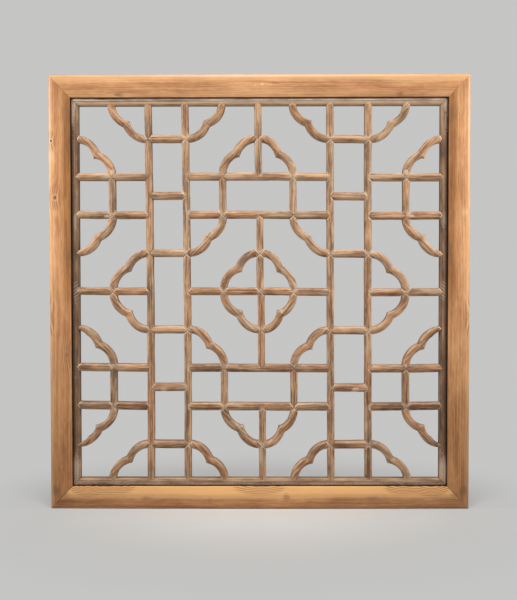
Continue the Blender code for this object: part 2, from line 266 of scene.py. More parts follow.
def both_sides(spots: Sequence[Spot]) -> list[Spot]:
    """The spots, and the reflection of each one that has a twin."""
    twins = [replace(spot, place=(-spot.place[0], spot.place[1])) for spot in spots if spot.twin]
    return [*spots, *twins]


def wander(along: Array, dice: np.random.Generator, longest: float, count: int = 4) -> Array:
    """A smooth hand-made unevenness along a piece: a sum of sines whose waves halve in length, from -1 to 1.

    Args:
        along: Places along the piece.
        dice: The piece's random numbers.
        longest: The length of the longest wave.
        count: How many waves are summed.

    Returns:
        The unevenness at each place.
    """
    step = np.arange(count).reshape(-1, *([1] * along.ndim))
    stretch = 0.8 + 0.4 * dice.random(step.shape)
    phase = 2 * math.pi * dice.random(step.shape)
    share = 0.62**step
    waves = share * np.sin(2 * math.pi * along[None] * 2.0**step / (longest * stretch) + phase)
    return waves.sum(0) / share.sum()


def bell(distance: Array, width: float) -> Array:
    """A smooth bump, exp(-(distance / width)^2)."""
    return np.exp(-((distance / width) ** 2))


def ramp(value: Array, low: float, high: float) -> Array:
    """A straight rise from 0 at low to 1 at high, level outside."""
    return np.clip((value - low) / (high - low), 0, 1)


def world_points(plan: Array, height: Array) -> Array:
    """Points (x, y, z) of points (x, z) in plan at their height above the frame's back, with y = -height."""
    return np.stack([plan[..., 0], -height, plan[..., 1]], axis=-1)


@dataclass(frozen=True)
class Racking:
    """How the years and the maker's hand have racked the lattice, by up to about 6 mm.

    With u and v from -1 to 1 between the borders' middle lines, a point moves across by (1 - u^2) times one
    polynomial of u and v, and up by (1 - v^2) times another.

    Attributes:
        across: The first polynomial in mm, with a row for each power of u and a column for each of v.
        upwards: The second one.
        sag: What is added to it, times (1 - u^2).
        middle: How far the middle uprights stand to the right at the two levels, in mm.
        middle_levels: The levels between which that changes.
        middle_reach: How far from the middle it reaches.
        feet: How much further out the lowest curves' feet stand, in mm.
        feet_reach: How far that reaches, across and up.
    """

    across: tuple[Triple, ...] = ((-1.8, -2.4, -1.0), (2.6, 1.3, 3.7), (2.2, 0.0, 0.0))
    upwards: tuple[Triple, ...] = ((3.2, 2.1, 2.7), (-1.5, 0.0, 0.0))
    sag: tuple[tuple[float, ...], ...] = ((-0.3, 1.4, -2.3, 9.6), (-0.9, 0.0, 0.0, 0.0), (-5.3, 0.0, 0.0, 0.0))
    middle: Point = (1.4, 3.6)
    middle_levels: Point = (-0.33, -0.22)
    middle_reach: float = 0.040
    feet: float = 3.6
    feet_reach: Point = (0.035, 0.050)

    def moved(self, plan: Array) -> Array:
        """Moves points of the lattice to where they lie in the racked one.

        Args:
            plan: Points (x, z) in the last axis.

        Returns:
            The moved points.
        """
        _, top, bottom = LAYOUT.panel
        middle, reach = (top + bottom) / 2, (top - bottom - LAYOUT.border_width) / 2
        x, z = plan[..., 0], plan[..., 1]
        u, v = x / LAYOUT.column(LAYOUT.last_line), (z - middle) / reach
        across = (1 - u**2) * polyval2d(u, v, self.across)
        across = across + bell(x, self.middle_reach) * np.interp(z, self.middle_levels, self.middle)
        from_foot = np.abs(x) - LAYOUT.column(mirrored(SHORT_LINE, True))
        feet = bell(from_foot, self.feet_reach[0]) * bell(z - bottom, self.feet_reach[1])
        across = across + self.feet * np.sign(x) * feet
        sag = (1 - u**2) * polyval2d(u, v, self.sag)
        upwards = (1 - v**2) * (polyval2d(u, v, self.upwards) + sag)
        return plan + np.stack([across, upwards], axis=-1) * MM


def flame_shift(plan: Array, flame: float = 13.0, knot: float = 6.0, knot_reach: Point = (2.4, 4.0)) -> Array:
    """How far the rings of the frame's timber are pushed aside, in mm: bells round the flames and the knots.

    Args:
        plan: Points (x, z) in the last axis.
        flame: How far a flame pushes them in its middle, in mm.
        knot: How far a knot does.
        knot_reach: How many of its sizes a knot reaches, across and up.

    Returns:
        The shift at each point.
    """
    shift = np.zeros(plan.shape[:-1])
    for spot in both_sides(FLAMES):
        away = (plan - spot.place) / spot.size
        shift += flame * spot.strength * np.exp(-(away**2).sum(-1))
    for spot in both_sides(FRAME_SPOTS):
        if spot.kind is KNOT:
            away = (plan - spot.place) / np.multiply(knot_reach, spot.size)
            shift += knot * np.exp(-(away**2).sum(-1))
    return shift


@dataclass
class Surface:
    """A closed surface on a grid: rows along the piece, columns round its section, and a flat cap at each end.

    Attributes:
        points: The grid's points, (rows, columns, 3).
        attributes: What the material reads at each point, by name: grain is where the point lies in its timber;
            joint is its distance from the nearest joint in mm, that joint's own number, and its distance from
            the cusp or, on a bar, from the outer edge in mm; edge is 0 on the crown's ridge, 1 on the shoulder
            and 2 at the back; tone and flow are said where they are set.
    """

    points: Array
    attributes: dict[str, Array]

    def faces(self) -> list[list[int]]:
        """The grid's quads and its two caps, turned so that the volume inside them is positive.

        Returns:
            The corners' numbers, face by face.
        """
        rows, columns = self.points.shape[:2]
        index = np.arange(rows * columns).reshape(rows, columns)
        following = np.roll(index, -1, axis=1)
        quads = np.stack([index[:-1], following[:-1], following[1:], index[1:]], axis=-1).reshape(-1, 4)
        corners = self.points.reshape(-1, 3)[quads] - self.points.mean((0, 1))
        first = np.cross(corners[:, 0], corners[:, 1])
        second = np.cross(corners[:, 0], corners[:, 2])
        volume = (first * corners[:, 2]).sum() + (second * corners[:, 3]).sum()
        caps = [index[0][::-1].tolist(), index[-1].tolist()]
        every = quads.tolist() + caps
        return [face[::-1] for face in every] if volume < 0 else every

    def build(self, name: str, sharp: float = 42.0) -> bpy.types.Object:
        """Makes the piece of this surface.

        Args:
            name: The piece's name.
            sharp: The angle in degrees past which an edge isn't shaded smooth.

        Returns:
            The new object, with its place in its mesh.
        """
        mesh = bpy.data.meshes.new(name)
        mesh.from_pydata(self.points.reshape(-1, 3).tolist(), [], self.faces())
        for key, values in self.attributes.items():
            kind, part = ("FLOAT_VECTOR", "vector") if values.ndim == 3 else ("FLOAT", "value")
            layer = mesh.attributes.new(key, kind, "POINT")
            layer.data.foreach_set(part, np.ascontiguousarray(values, np.float32).ravel())
        mesh.shade_smooth()
        mesh.set_sharp_from_angle(angle=math.radians(sharp))
        mesh.update()
        piece = bpy.data.objects.new(name, mesh)
        bpy.context.scene.collection.objects.link(piece)
        return piece


@dataclass(frozen=True)
class HalfRun:
    """Half of a stick's middle line, from the middle of its carrier to the stick's own middle or its cusp.

    The line runs straight on for lead, turns through part of an ellipse, and goes straight on from there.

    Attributes:
        start: Where it starts, on the carrier's middle line.
        ahead: The way in which it leaves the carrier.
        aside: The way to which it turns.
        lead: The length of the first straight run.
        radius_ahead: The ellipse's radius in the way ahead.
        radius_aside: Its radius in the way aside.
        turn: The angle through which it turns.
    """

    start: Array
    ahead: Array
    aside: Array
    lead: float = 9.0
    radius_ahead: float = 1.0
    radius_aside: float = 1.0
    turn: float = 0.0

    def moved_line(self, along: Array, offset: Array) -> Array:
        """Points of the line, moved across it towards the side to which it turns.

        In its own axes the line is run + a sin(t) + rest cos(h) ahead and b (1 - cos(t)) + rest sin(h) aside,
        where t is the angle turned through, h its heading and rest what is left after the turn. The move by
        offset adds -offset sin(h) ahead and offset cos(h) aside.

        Args:
            along: Lengths along the middle line.
            offset: The move across it, in an array that broadcasts with along.

        Returns:
            Points in plan, in the last axis.
        """
        mean = (self.radius_ahead + self.radius_aside) / 2
        angle = np.clip((along - self.lead) / mean, 0, self.turn)
        rest = np.maximum(along - self.lead - self.turn * mean, 0)
        run = np.minimum(along, self.lead)
        heading = np.arctan2(self.radius_aside * np.sin(angle), self.radius_ahead * np.cos(angle))
        forward = run + self.radius_ahead * np.sin(angle) + rest * np.cos(heading) - offset * np.sin(heading)
        sideways = self.radius_aside * (1 - np.cos(angle)) + rest * np.sin(heading) + offset * np.cos(heading)
        return self.start + forward[..., None] * self.ahead + sideways[..., None] * self.aside

    def heading_at_end(self) -> Array:
        """The way in which the line runs after its turn.

        Returns:
            A unit vector.
        """
        lengthwise = self.radius_ahead * math.cos(self.turn)
        crosswise = self.radius_aside * math.sin(self.turn)
        way = lengthwise * self.ahead + crosswise * self.aside
        return way / np.linalg.norm(way)

    def crossing(self, offset: Array, point: Array, normal: Array, beyond: Array, longest: float) -> Array:
        """How far along each moved line first passes a plane, read from a table of the line's points.

        Args:
            offset: The move of each line, one a column.
            point: A point of the plane.
            normal: The way through the plane.
            beyond: How far past the plane each column's line goes.
            longest: The length of the table.

        Returns:
            The length along the middle line, one a column.
        """
        table = np.linspace(0, longest, 500)[:, None]
        signed = (self.moved_line(table, offset[None]) - point) @ normal - beyond
        after = np.maximum((signed >= 0).argmax(0), 1)
        column = np.arange(len(offset))
        low = signed[after - 1, column]
        high = signed[after, column]
        share = np.where(high > low, -low / np.where(high > low, high - low, 1), 0)
        return table[after - 1, 0] + share * (table[after, 0] - table[after - 1, 0])


@dataclass(frozen=True)
class StickSection:
    """A stick's section: a flat back with worn corners, square sides, and an elliptical crown.

    Attributes:
        width: The stick's width.
        crown_steps: How many facets the crown has.
        back_corner: The worn corner's points in mm, in from the side and up from the back.
        side_levels: The side's points, as shares of the shoulder's height.
    """

    width: float
    crown_steps: int = 18
    back_corner: tuple[Point, ...] = ((2.4, 0.0), (0.7, 0.0), (0.15, 0.25), (0.0, 0.9))
    side_levels: Point = (0.45, 0.8)

    def outline(self) -> tuple[Array, Array, Array, Array]:
        """The section's points, once round from the middle of the back.

        The crown is (-w/2 cos(t), shoulder + rise sin(t)) for t from 0 to half a turn.

        Returns:
            Each point's offset, its height, whether it is on the crown, and its edge value.
        """
        half = self.width / 2
        shoulder = LAYOUT.shoulder
        turn = np.linspace(0, math.pi, self.crown_steps + 1)
        corner_in, corner_up = np.array(self.back_corner).T * MM
        side_offsets = np.concatenate([[0.0], corner_in - half, [-half, -half]])
        side_heights = np.concatenate([[0.0], corner_up, np.array(self.side_levels) * shoulder])
        offset = np.concatenate([side_offsets, -half * np.cos(turn), -side_offsets[:0:-1]])
        height = np.concatenate([side_heights, shoulder + LAYOUT.crown_rise * np.sin(turn), side_heights[:0:-1]])
        on_crown = np.zeros(len(offset), bool)
        on_crown[len(side_offsets) : len(side_offsets) + len(turn)] = True
        edge = np.where(on_crown, np.abs(offset) / half, 2 - height / shoulder)
        return offset, height, on_crown, edge


# The rows next to a stick's end, and how far its crown sinks at each.
NEAR_ROWS = np.array([-0.25, 0.0, 0.30, 0.65, 1.1, 1.7, 2.5, 3.5]) * MM
NEAR_DROP = np.array([3.20, 1.20, 0.65, 0.30, 0.10, 0.0, 0.0, 0.0]) * MM


@dataclass(frozen=True)
class Handwork:
    """How uneven the maker's hand and the years have left a stick.

    Attributes:
        sway: How far its middle line strays, and over what length.
        swell: The share by which its width varies, and the length.
        bow: How far its crown rises and falls, and the length.
        dents: The same for its dents, which run aslant.
        valley, fold: The depth and the width of the mitre lines where others meet it, and of the cusp's line.
        short_on_border: The greatest share of a border's half width at which its end may stop.
        short_on_stick: The same on a stick.
        roundness: How far below 1 the power of its end's outline may lie.
        slimming: The length over which a slimmed end regains its width.
        tone: How far its wood may be from its own tone.
    """

    sway: Point = (0.45 * MM, 0.22)
    swell: Point = (0.030, 0.11)
    bow: Point = (0.20 * MM, 0.09)
    dents: Point = (0.18 * MM, 0.022)
    valley: Point = (0.55 * MM, 1.6 * MM)
    fold: Point = (0.12 * MM, 1.5 * MM)
    short_on_border: float = 0.35
    short_on_stick: float = 0.22
    roundness: float = 0.4
    slimming: float = 20 * MM
    tone: float = 0.4


@dataclass
class Stick:
    """One stick of the lattice, whose crown ends in a point at each carrier.

    Attributes:
        name: The piece's name.
        nodes: The CAD nodes that it stands for, wholly or in part.
        width: Its width.
        halves: Its two half runs, which meet at its middle or its cusp.
        carriers: What carries each end.
        row_step: The distance between its rows.
        spur: How far the spur inside its cusp stands out.
        spur_from_top: Whether the spur is the upper lobe's, and not the lower one's.
        blunt: The least share of the carrier's half width at which its first end stops.
        slimmed: The share of its width that its first end loses on its hollow side.
        tone: How light its wood is, from about -3 to 2, which on the lower rows also stands for painted shade.
        meetings: Where other sticks' ends meet it: the place along it, the side and the other's half width.
        hand: How uneven it is.
        dice: Its random numbers.
    """

    name: str
    nodes: tuple[str, ...]
    width: float
    halves: tuple[HalfRun, HalfRun]
    carriers: tuple[Carrier, Carrier]
    row_step: float = 2.2 * MM
    spur: float = 1.0 * MM
    spur_from_top: bool = True
    blunt: float = 0.0
    slimmed: float = 0.0
    tone: float = 0.0
    meetings: list[Triple] = field(default_factory=list)
    hand: Handwork = Handwork()
    dice: np.random.Generator = field(init=False)

    def __post_init__(self) -> None:
        """Gives the stick its own random numbers."""
        self.dice = seeded(self.name)

    @property
    def curved(self) -> bool:
        """Whether the stick has a cusp."""
        return self.halves[0].turn > 0

    @property
    def top_half(self) -> int:
        """The number of the half whose lobe ends in the spur."""
        lower_first = self.halves[0].start[1] < self.halves[1].start[1]
        return int(lower_first == self.spur_from_top)

    @property
    def chord(self) -> tuple[float, Array]:
        """The straight line from the stick's first end to its second.

        Returns:
            Its length and its way.
        """
        span = self.halves[1].start - self.halves[0].start
        length = float(np.linalg.norm(span))
        return length, span / length

    def note_meetings(self, others: Iterable["Stick"]) -> None:
        """Notes where the others' ends lie on this stick, if it is a straight one, between its own ends.

        Args:
            others: All the sticks.
        """
        length, way = self.chord
        sideways = np.array([-way[1], way[0]])
        for half, width in ((half, other.width) for other in others for half in other.halves):
            along, across = (float((half.start - self.halves[0].start) @ axis) for axis in (way, sideways))
            side = float(half.ahead @ sideways)
            if not self.curved and abs(across) < 3 * MM and 5 * MM < along < length - 5 * MM and abs(side) > 0.5:
                self.meetings.append((along, math.copysign(1, side), width / 2))

    def from_meetings(self, along: Array, across: Array) -> Array:
        """How far each point lies from the mitre line of the nearest stick that meets this one.

        The line runs out from the meeting point by the other's half width times |across| / (width / 2), on
        the other's side.

        Args:
            along: The points' places along the stick.
            across: Their places across it.

        Returns:
            The distances.
        """
        nearest = np.full_like(along, FAR * MM)
        for place, side, reach in self.meetings:
            line = reach * np.abs(across) / (self.width / 2)
            away = 0.7 * np.abs(np.abs(along - place) - line)
            nearest = np.where(across * side >= 0, np.minimum(nearest, away), nearest)
        return nearest

    def meeting_plane(self) -> tuple[Array, Array]:
        """The plane that halves the bend in the stick's middle.

        Returns:
            A point of it, and the way through it.
        """
        first, second = self.halves
        normal = first.heading_at_end() - second.heading_at_end()
        reach = first.lead + first.turn * (first.radius_ahead + first.radius_aside) / 2
        middle = (first.start + second.start) / 2
        point = first.moved_line(np.array([reach]), np.zeros(1))[0] if self.curved else middle
        return point, normal / np.linalg.norm(normal)

    def half_grid(self, half: HalfRun, carrier: Carrier, way: float) -> tuple[Array, Array]:
        """The half's points in plan, row by row from its carrier to the meeting plane.

        A column of the crown starts at carrier half width times (short + (1 - short) share^power) from the
        carrier's middle line, with share = |offset| / (width / 2). With short 0 and the power 1 that is where
        the two round faces meet, and otherwise the end is rounder. The other columns start at the carrier's
        side. A slimmed end has every column nearer to the bulging side, less so with the distance.

        Args:
            half: The half run.
            carrier: What carries its end.
            way: 1 where the meeting plane's way through is this half's own, or -1.

        Returns:
            Points (rows, columns, 2), and each one's distance from where its column starts.
        """
        offset, _, on_crown, _ = StickSection(self.width).outline()
        point, normal = self.meeting_plane()
        power = 1.0 - self.hand.roundness * self.dice.random()
        blunt, slimmed = (self.blunt, self.slimmed) if way > 0 else (0.0, 0.0)
        shortest = self.hand.short_on_border if carrier is Carrier.BORDER else self.hand.short_on_stick
        short = max(shortest * self.dice.random(), blunt)
        share = short + (1 - short) * (np.abs(offset) / (self.width / 2)) ** power
        reach = np.where(on_crown, np.maximum(carrier.value * share, 0.4 * MM), carrier.value + 0.1 * MM)
        length = abs((point - half.start) @ half.ahead) * 1.5 + 0.05
        start = half.crossing(offset, half.start, half.ahead, reach, 0.02)
        stop = half.crossing(offset, point, way * normal, np.zeros(len(offset)), length)
        rows = max(int(round(float(stop.mean()) / self.row_step)), 6)
        rest = np.linspace(0, 1, rows)[1:, None]
        rest = 1 - (1 - rest) ** 1.6 if self.curved else self.finer(rest, way)
        near = start + NEAR_ROWS[:, None]
        along = np.concatenate([near, near[-1] + (stop - near[-1]) * rest])
        kept = 1 - slimmed * ramp(start - along, -self.hand.slimming, 0.0)
        bulge = -self.width / 2
        return half.moved_line(along, bulge + (offset - bulge) * kept), along - start

    def finer(self, rest: Array, way: float) -> Array:
        """Adds rows 0.8 mm apart round the meetings to the rows of a straight stick's half.

        Args:
            rest: The rows' shares of the way from the end to the middle, (rows, 1).
            way: 1 for the first half, or -1.

        Returns:
            All the shares, in order, with the last one kept.
        """
        half_length = self.chord[0] / 2
        window = np.arange(-9.2, 9.3, 0.8) * MM
        places = [along if way > 0 else 2 * half_length - along for along, _, _ in self.meetings]
        extra = (np.array(places).reshape(-1, 1) + window).ravel() / half_length
        extra = extra[(extra > rest[0, 0]) & (extra < 1)]
        shares = np.sort(np.concatenate([rest[:, 0], extra]))
        apart = np.append(np.diff(shares) > 0.3 * MM / half_length, True)
        return shares[apart][:, None]

    def softened_notch(self, plan: Array, middle_row: int) -> Array:
        """Rounds the notch on the outer side of a cusp by averaging neighbouring rows.

        Args:
            plan: The stick's points in plan.
            middle_row: The row that lies on the meeting plane.

        Returns:
            The points with the notch rounded.
        """
        offset = StickSection(self.width).outline()[0]
        outer = np.clip(-offset / (self.width / 2), 0, 1)
        near = bell(np.arange(len(plan)) - middle_row, 9.0)
        share = (near[:, None] * outer)[1:-1, :, None]
        for _ in range(24):
            mean = (plan[:-2] + 2 * plan[1:-1] + plan[2:]) / 4
            plan[1:-1] += share * (mean - plan[1:-1])
        return plan

    def spurred(self, plan: Array, middle_row: int) -> Array:
        """Lets one lobe's inner edge run on into a spur, which falls back to the other lobe's edge.

        A point of the other lobe at distance d from the cusp moves by (spur - d) along the first lobe's last
        heading, times the cube of its place from the middle line to the inner edge.

        Args:
            plan: The stick's points in plan.
            middle_row: The row that lies on the meeting plane.

        Returns:
            The points with the spur.
        """
        offset = StickSection(self.width).outline()[0]
        inner = np.clip(offset / (self.width / 2), 0, 1) ** 3
        order = np.arange(len(plan))[:, None] - middle_row
        beyond = order >= 0 if self.top_half == 0 else order <= 0
        from_cusp = np.linalg.norm(plan - plan[middle_row], axis=-1)
        spur = self.spur * (0.7 + 0.6 * self.dice.random())
        move = np.clip(spur - from_cusp, 0, None) * beyond * inner
        return plan + move[..., None] * self.halves[self.top_half].heading_at_end()

    def surface(self) -> Surface:
        """The stick's surface: its section carried along its line, with the hand's and the years' unevenness.

        Returns:
            The closed surface.
        """
        first, from_start = self.half_grid(self.halves[0], self.carriers[0], 1)
        second, from_end = self.half_grid(self.halves[1], self.carriers[1], -1)
        middle = (first[-1] + second[-1]) / 2
        plan = np.concatenate([first[:-1], middle[None], second[-2::-1]])
        middle_row = len(first) - 1
        point, normal = self.meeting_plane()
        away = (plan - point) @ normal * (1 - 2 * self.top_half)
        if self.curved:
            plan = self.spurred(self.softened_notch(plan, middle_row), middle_row)
        else:
            away = np.full_like(away, FAR * MM)
        to_start = np.concatenate([from_start, np.ones_like(second[1:, :, 0])])
        to_end = np.concatenate([np.ones_like(first[..., 0]), from_end[-2::-1]])
        return self.finished(plan, np.stack([to_start, to_end, away]))

    def finished(self, plan: Array, apart: Array) -> Surface:
        """Gives the stick its unevenness, its depth, and its attributes.

        Args:
            plan: The stick's points in plan.
            apart: Each one's distance from the joint at the first end, from the other one, and from the cusp's
                plane, which counts up on the side of the lobe that lies under the other one's end.

        Returns:
            The closed surface.
        """
        _, height, on_crown, edge = StickSection(self.width).outline()
        to_start, to_end, away = apart
        length, way = self.chord
        across_way = np.array([-way[1], way[0]])
        from_first = plan - self.halves[0].start
        along, across = from_first @ way, from_first @ across_way
        centre = along.mean(1, keepdims=True)
        taper = np.sin(math.pi * np.clip(centre / length, 0, 1)) ** 0.5
        hand = self.hand
        sway = hand.sway[0] * taper * wander(centre, self.dice, hand.sway[1])
        swell = hand.swell[0] * taper * wander(centre, self.dice, hand.swell[1])
        shift = sway + swell * (across - across.mean(1, keepdims=True))
        nearest = np.minimum(to_start, to_end)
        drop = np.interp(nearest, NEAR_ROWS, NEAR_DROP) + hand.fold[0] * bell(away, hand.fold[1])
        met = self.from_meetings(along, across)
        open_share = np.clip(np.abs(across) / (0.35 * self.width), 0.3, 1)
        drop = drop + hand.valley[0] * bell(met, hand.valley[1]) * open_share
        nearest = np.minimum(nearest, met)
        rise = hand.bow[0] * wander(centre, self.dice, hand.bow[1])
        rise = rise + hand.dents[0] * wander(centre + 0.3 * across, self.dice, hand.dents[1], 3)
        heights = height + on_crown * (rise * taper - drop)
        moved = Racking().moved(plan + shift[..., None] * across_way)
        points = world_points(moved, LAYOUT.lattice_back + heights)
        numbers = self.dice.random(2)
        number = np.where(to_start < to_end, *numbers)
        place = self.dice.random(3) * TIMBER
        tone = np.full_like(along, self.tone + hand.tone * (2 * self.dice.random() - 1))
        attributes = {
            "grain": np.stack([along, across, heights], axis=-1) + place,
            "joint": np.stack([nearest / MM, number, np.abs(away) / MM], axis=-1),
            "edge": np.broadcast_to(edge, along.shape),
            "tone": tone,
        }
        return Surface(points, attributes)


def straight_halves(first: Point, second: Point) -> tuple[HalfRun, HalfRun]:
    """The two half runs of a straight stick, both measured to the same side.

    Args:
        first: Its first end in plan.
        second: Its other end.

    Returns:
        The half runs.
    """
    start, stop = np.array(first), np.array(second)
    ahead = (stop - start) / np.linalg.norm(stop - start)
    aside = np.array([-ahead[1], ahead[0]])
    return HalfRun(start, ahead, aside), HalfRun(stop, -ahead, aside)


def cusped_halves(
    first: Point, second: Point, degrees: float, lead: float = 4 * MM
) -> tuple[HalfRun, HalfRun]:
    """The two lobes of a curved stick, which leaves its upright level and meets its crossbar upright.

    A lobe's radius is (span - lead) / (sin(turn) + 1 - cos(turn)), so that the two lobes meet in the cusp.

    Args:
        first: The end on the upright.
        second: The end on the crossbar.
        degrees: The angle through which each lobe turns.
        lead: The straight run at each end.

    Returns:
        The two half runs, each from its own end to the cusp.
    """
    start, stop = np.array(first), np.array(second)
    turn = math.radians(degrees)
    spans = np.abs(stop - start) - lead
    radius_x, radius_z = spans / (math.sin(turn) + 1 - math.cos(turn))
    level = np.array([math.copysign(1, stop[0] - start[0]), 0.0])
    rising = np.array([0.0, math.copysign(1, stop[1] - start[1])])
    return (
        HalfRun(start, level, rising, lead, radius_x, radius_z, turn),
        HalfRun(stop, -rising, -level, lead, radius_z, radius_x, turn),
    )


@dataclass(frozen=True)
class Bar:
    """One bar of a mitred ring: a section carried between two mitres, with its outer edge on a side of the ring.

    Attributes:
        name: The piece's name, which is its CAD node's too.
        start: The ring's outer corner at which it starts.
        stop: The ring's outer corner at which it ends.
        inward: The way from its outer edge to its inner one.
        slant: How far the mitre recedes along the bar for each unit of the way inwards.
        back: The height of its back above the frame's back.
        openness: How far each of its mitres has opened, from 0 to 1.
        row_step: The distance between its rows.
        near_rows: The rows next to a mitre.
        gap: How wide a fully opened mitre is.
        sunk: How far from a mitre its edge is worn down.
        long_wear: The share of the wear that comes in long waves, and their length.
        short_wear: The same for the short waves.
    """

    name: str
    start: Point
    stop: Point
    inward: Point
    slant: float
    back: float
    openness: Point
    row_step: float = 2.6 * MM
    near_rows: tuple[float, ...] = (0.0, 0.35 * MM, 0.9 * MM, 1.8 * MM)
    gap: float = 0.13 * MM
    sunk: float = 0.5 * MM
    long_wear: Point = (0.30, 0.25)
    short_wear: Point = (0.17, 0.045)

    def rows_along(self, inset: Array) -> tuple[Array, Array, Array]:
        """Where the rows lie along the bar: between start + slant inset and stop - slant inset, less the gap.

        Args:
            inset: Each column's distance inwards from the outer edge.

        Returns:
            Each point's place along the bar, its distance from the nearer mitre, and that mitre's openness,
            (rows, columns).
        """
        length = math.dist(self.start, self.stop)
        gaps = [self.gap * open_share * math.hypot(1, self.slant) for open_share in self.openness]
        first = self.slant * inset + gaps[0]
        last = length - self.slant * inset - gaps[1]
        rows = int(round(length / self.row_step))
        near = np.array(self.near_rows)
        share = np.linspace(0, 1, rows)[1:-1, None]
        inner_first, inner_last = first + near[-1], last - near[-1]
        middle = inner_first + (inner_last - inner_first) * share
        along = np.concatenate([first + near[:, None], middle, last - near[::-1, None]])
        from_start, from_stop = along - first, last - along
        number = np.where(from_start < from_stop, *self.openness)
        return along, np.minimum(from_start, from_stop), number

    def surface(self, inset: Array, height: Array, edge: Array, roll: Array) -> Surface:
        """The bar's surface: point = start + along + inset inwards, with the height given.

        Args:
            inset: Each column's distance inwards from the outer edge.
            height: Its height above the bar's back.
            edge: Its edge value.
            roll: How far its surface may be worn away, as (inwards, down) a column.

        Returns:
            The closed surface, without its tone and flow.
        """
        dice = seeded(self.name)
        along, nearest, number = self.rows_along(inset)
        start, stop, inward = (np.array(point) for point in (self.start, self.stop, self.inward))
        way = (stop - start) / np.linalg.norm(stop - start)
        fall = number * np.exp(-nearest / self.sunk)
        long_waves = self.long_wear[0] * (1 + wander(along, dice, self.long_wear[1]))
        short_waves = self.short_wear[0] * (1 + wander(along + 0.7 * inset, dice, self.short_wear[1], 3))
        move = (fall + long_waves + short_waves)[..., None] * roll
        depth = np.broadcast_to(height, along.shape) - move[..., 1]
        across = np.broadcast_to(inset, along.shape) + move[..., 0]
        plan = start + along[..., None] * way + across[..., None] * inward
        place = dice.random(3) * TIMBER
        insets = np.broadcast_to(inset / MM, along.shape)
        attributes = {
            "grain": np.stack([along, across, depth], axis=-1) + place,
            "joint": np.stack([nearest / MM, number, insets], axis=-1),
            "edge": np.broadcast_to(edge, along.shape),
        }
        return Surface(world_points(plan, self.back + depth), attributes)


def ring(names: Sequence[str], corner: Sequence[float], widths: Point, back: float, openness: Point) -> list[Bar]:
    """The four bars of a mitred ring, clockwise from the left one.

    Args:
        names: Their names.
        corner: The ring's half width, top and bottom, at its outer edge.
        widths: The width of its upright bars and of its level ones.
        back: The height of their backs.
        openness: How far the mitres have opened at the top and at the bottom.

    Returns:
        The bars.
    """
    side, top, bottom = corner
    high, low = openness
    upright, level = widths
    ends = (((-side, bottom), (-side, top)), ((-side, top), (side, top)))
    ends += (((side, bottom), (side, top)), ((-side, bottom), (side, bottom)))
    inward = ((1, 0), (0, -1), (-1, 0), (0, 1))
    slants = (level / upright, upright / level) * 2
    opened = ((low, high), (high, high), (low, high), (low, low))
    rows = zip(names, ends, inward, slants, opened)
    return [Bar(name, *pair, way, slant, back, both) for name, pair, way, slant, both in rows]


def dressed(
    piece: bpy.types.Object, wood: bpy.types.Material, nodes: Iterable[str]
) -> bpy.types.Object:
    """Gives a piece its wood, says what it rides on, and hides the CAD nodes that it stands for.

    Args:
        piece: The piece.
        wood: Its material.
        nodes: The CAD nodes that it stands for, wholly or in part.

    Returns:
        The same piece.
    """
    piece.data.materials.append(wood)
    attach(piece, "root")
    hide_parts(*nodes)
    return piece


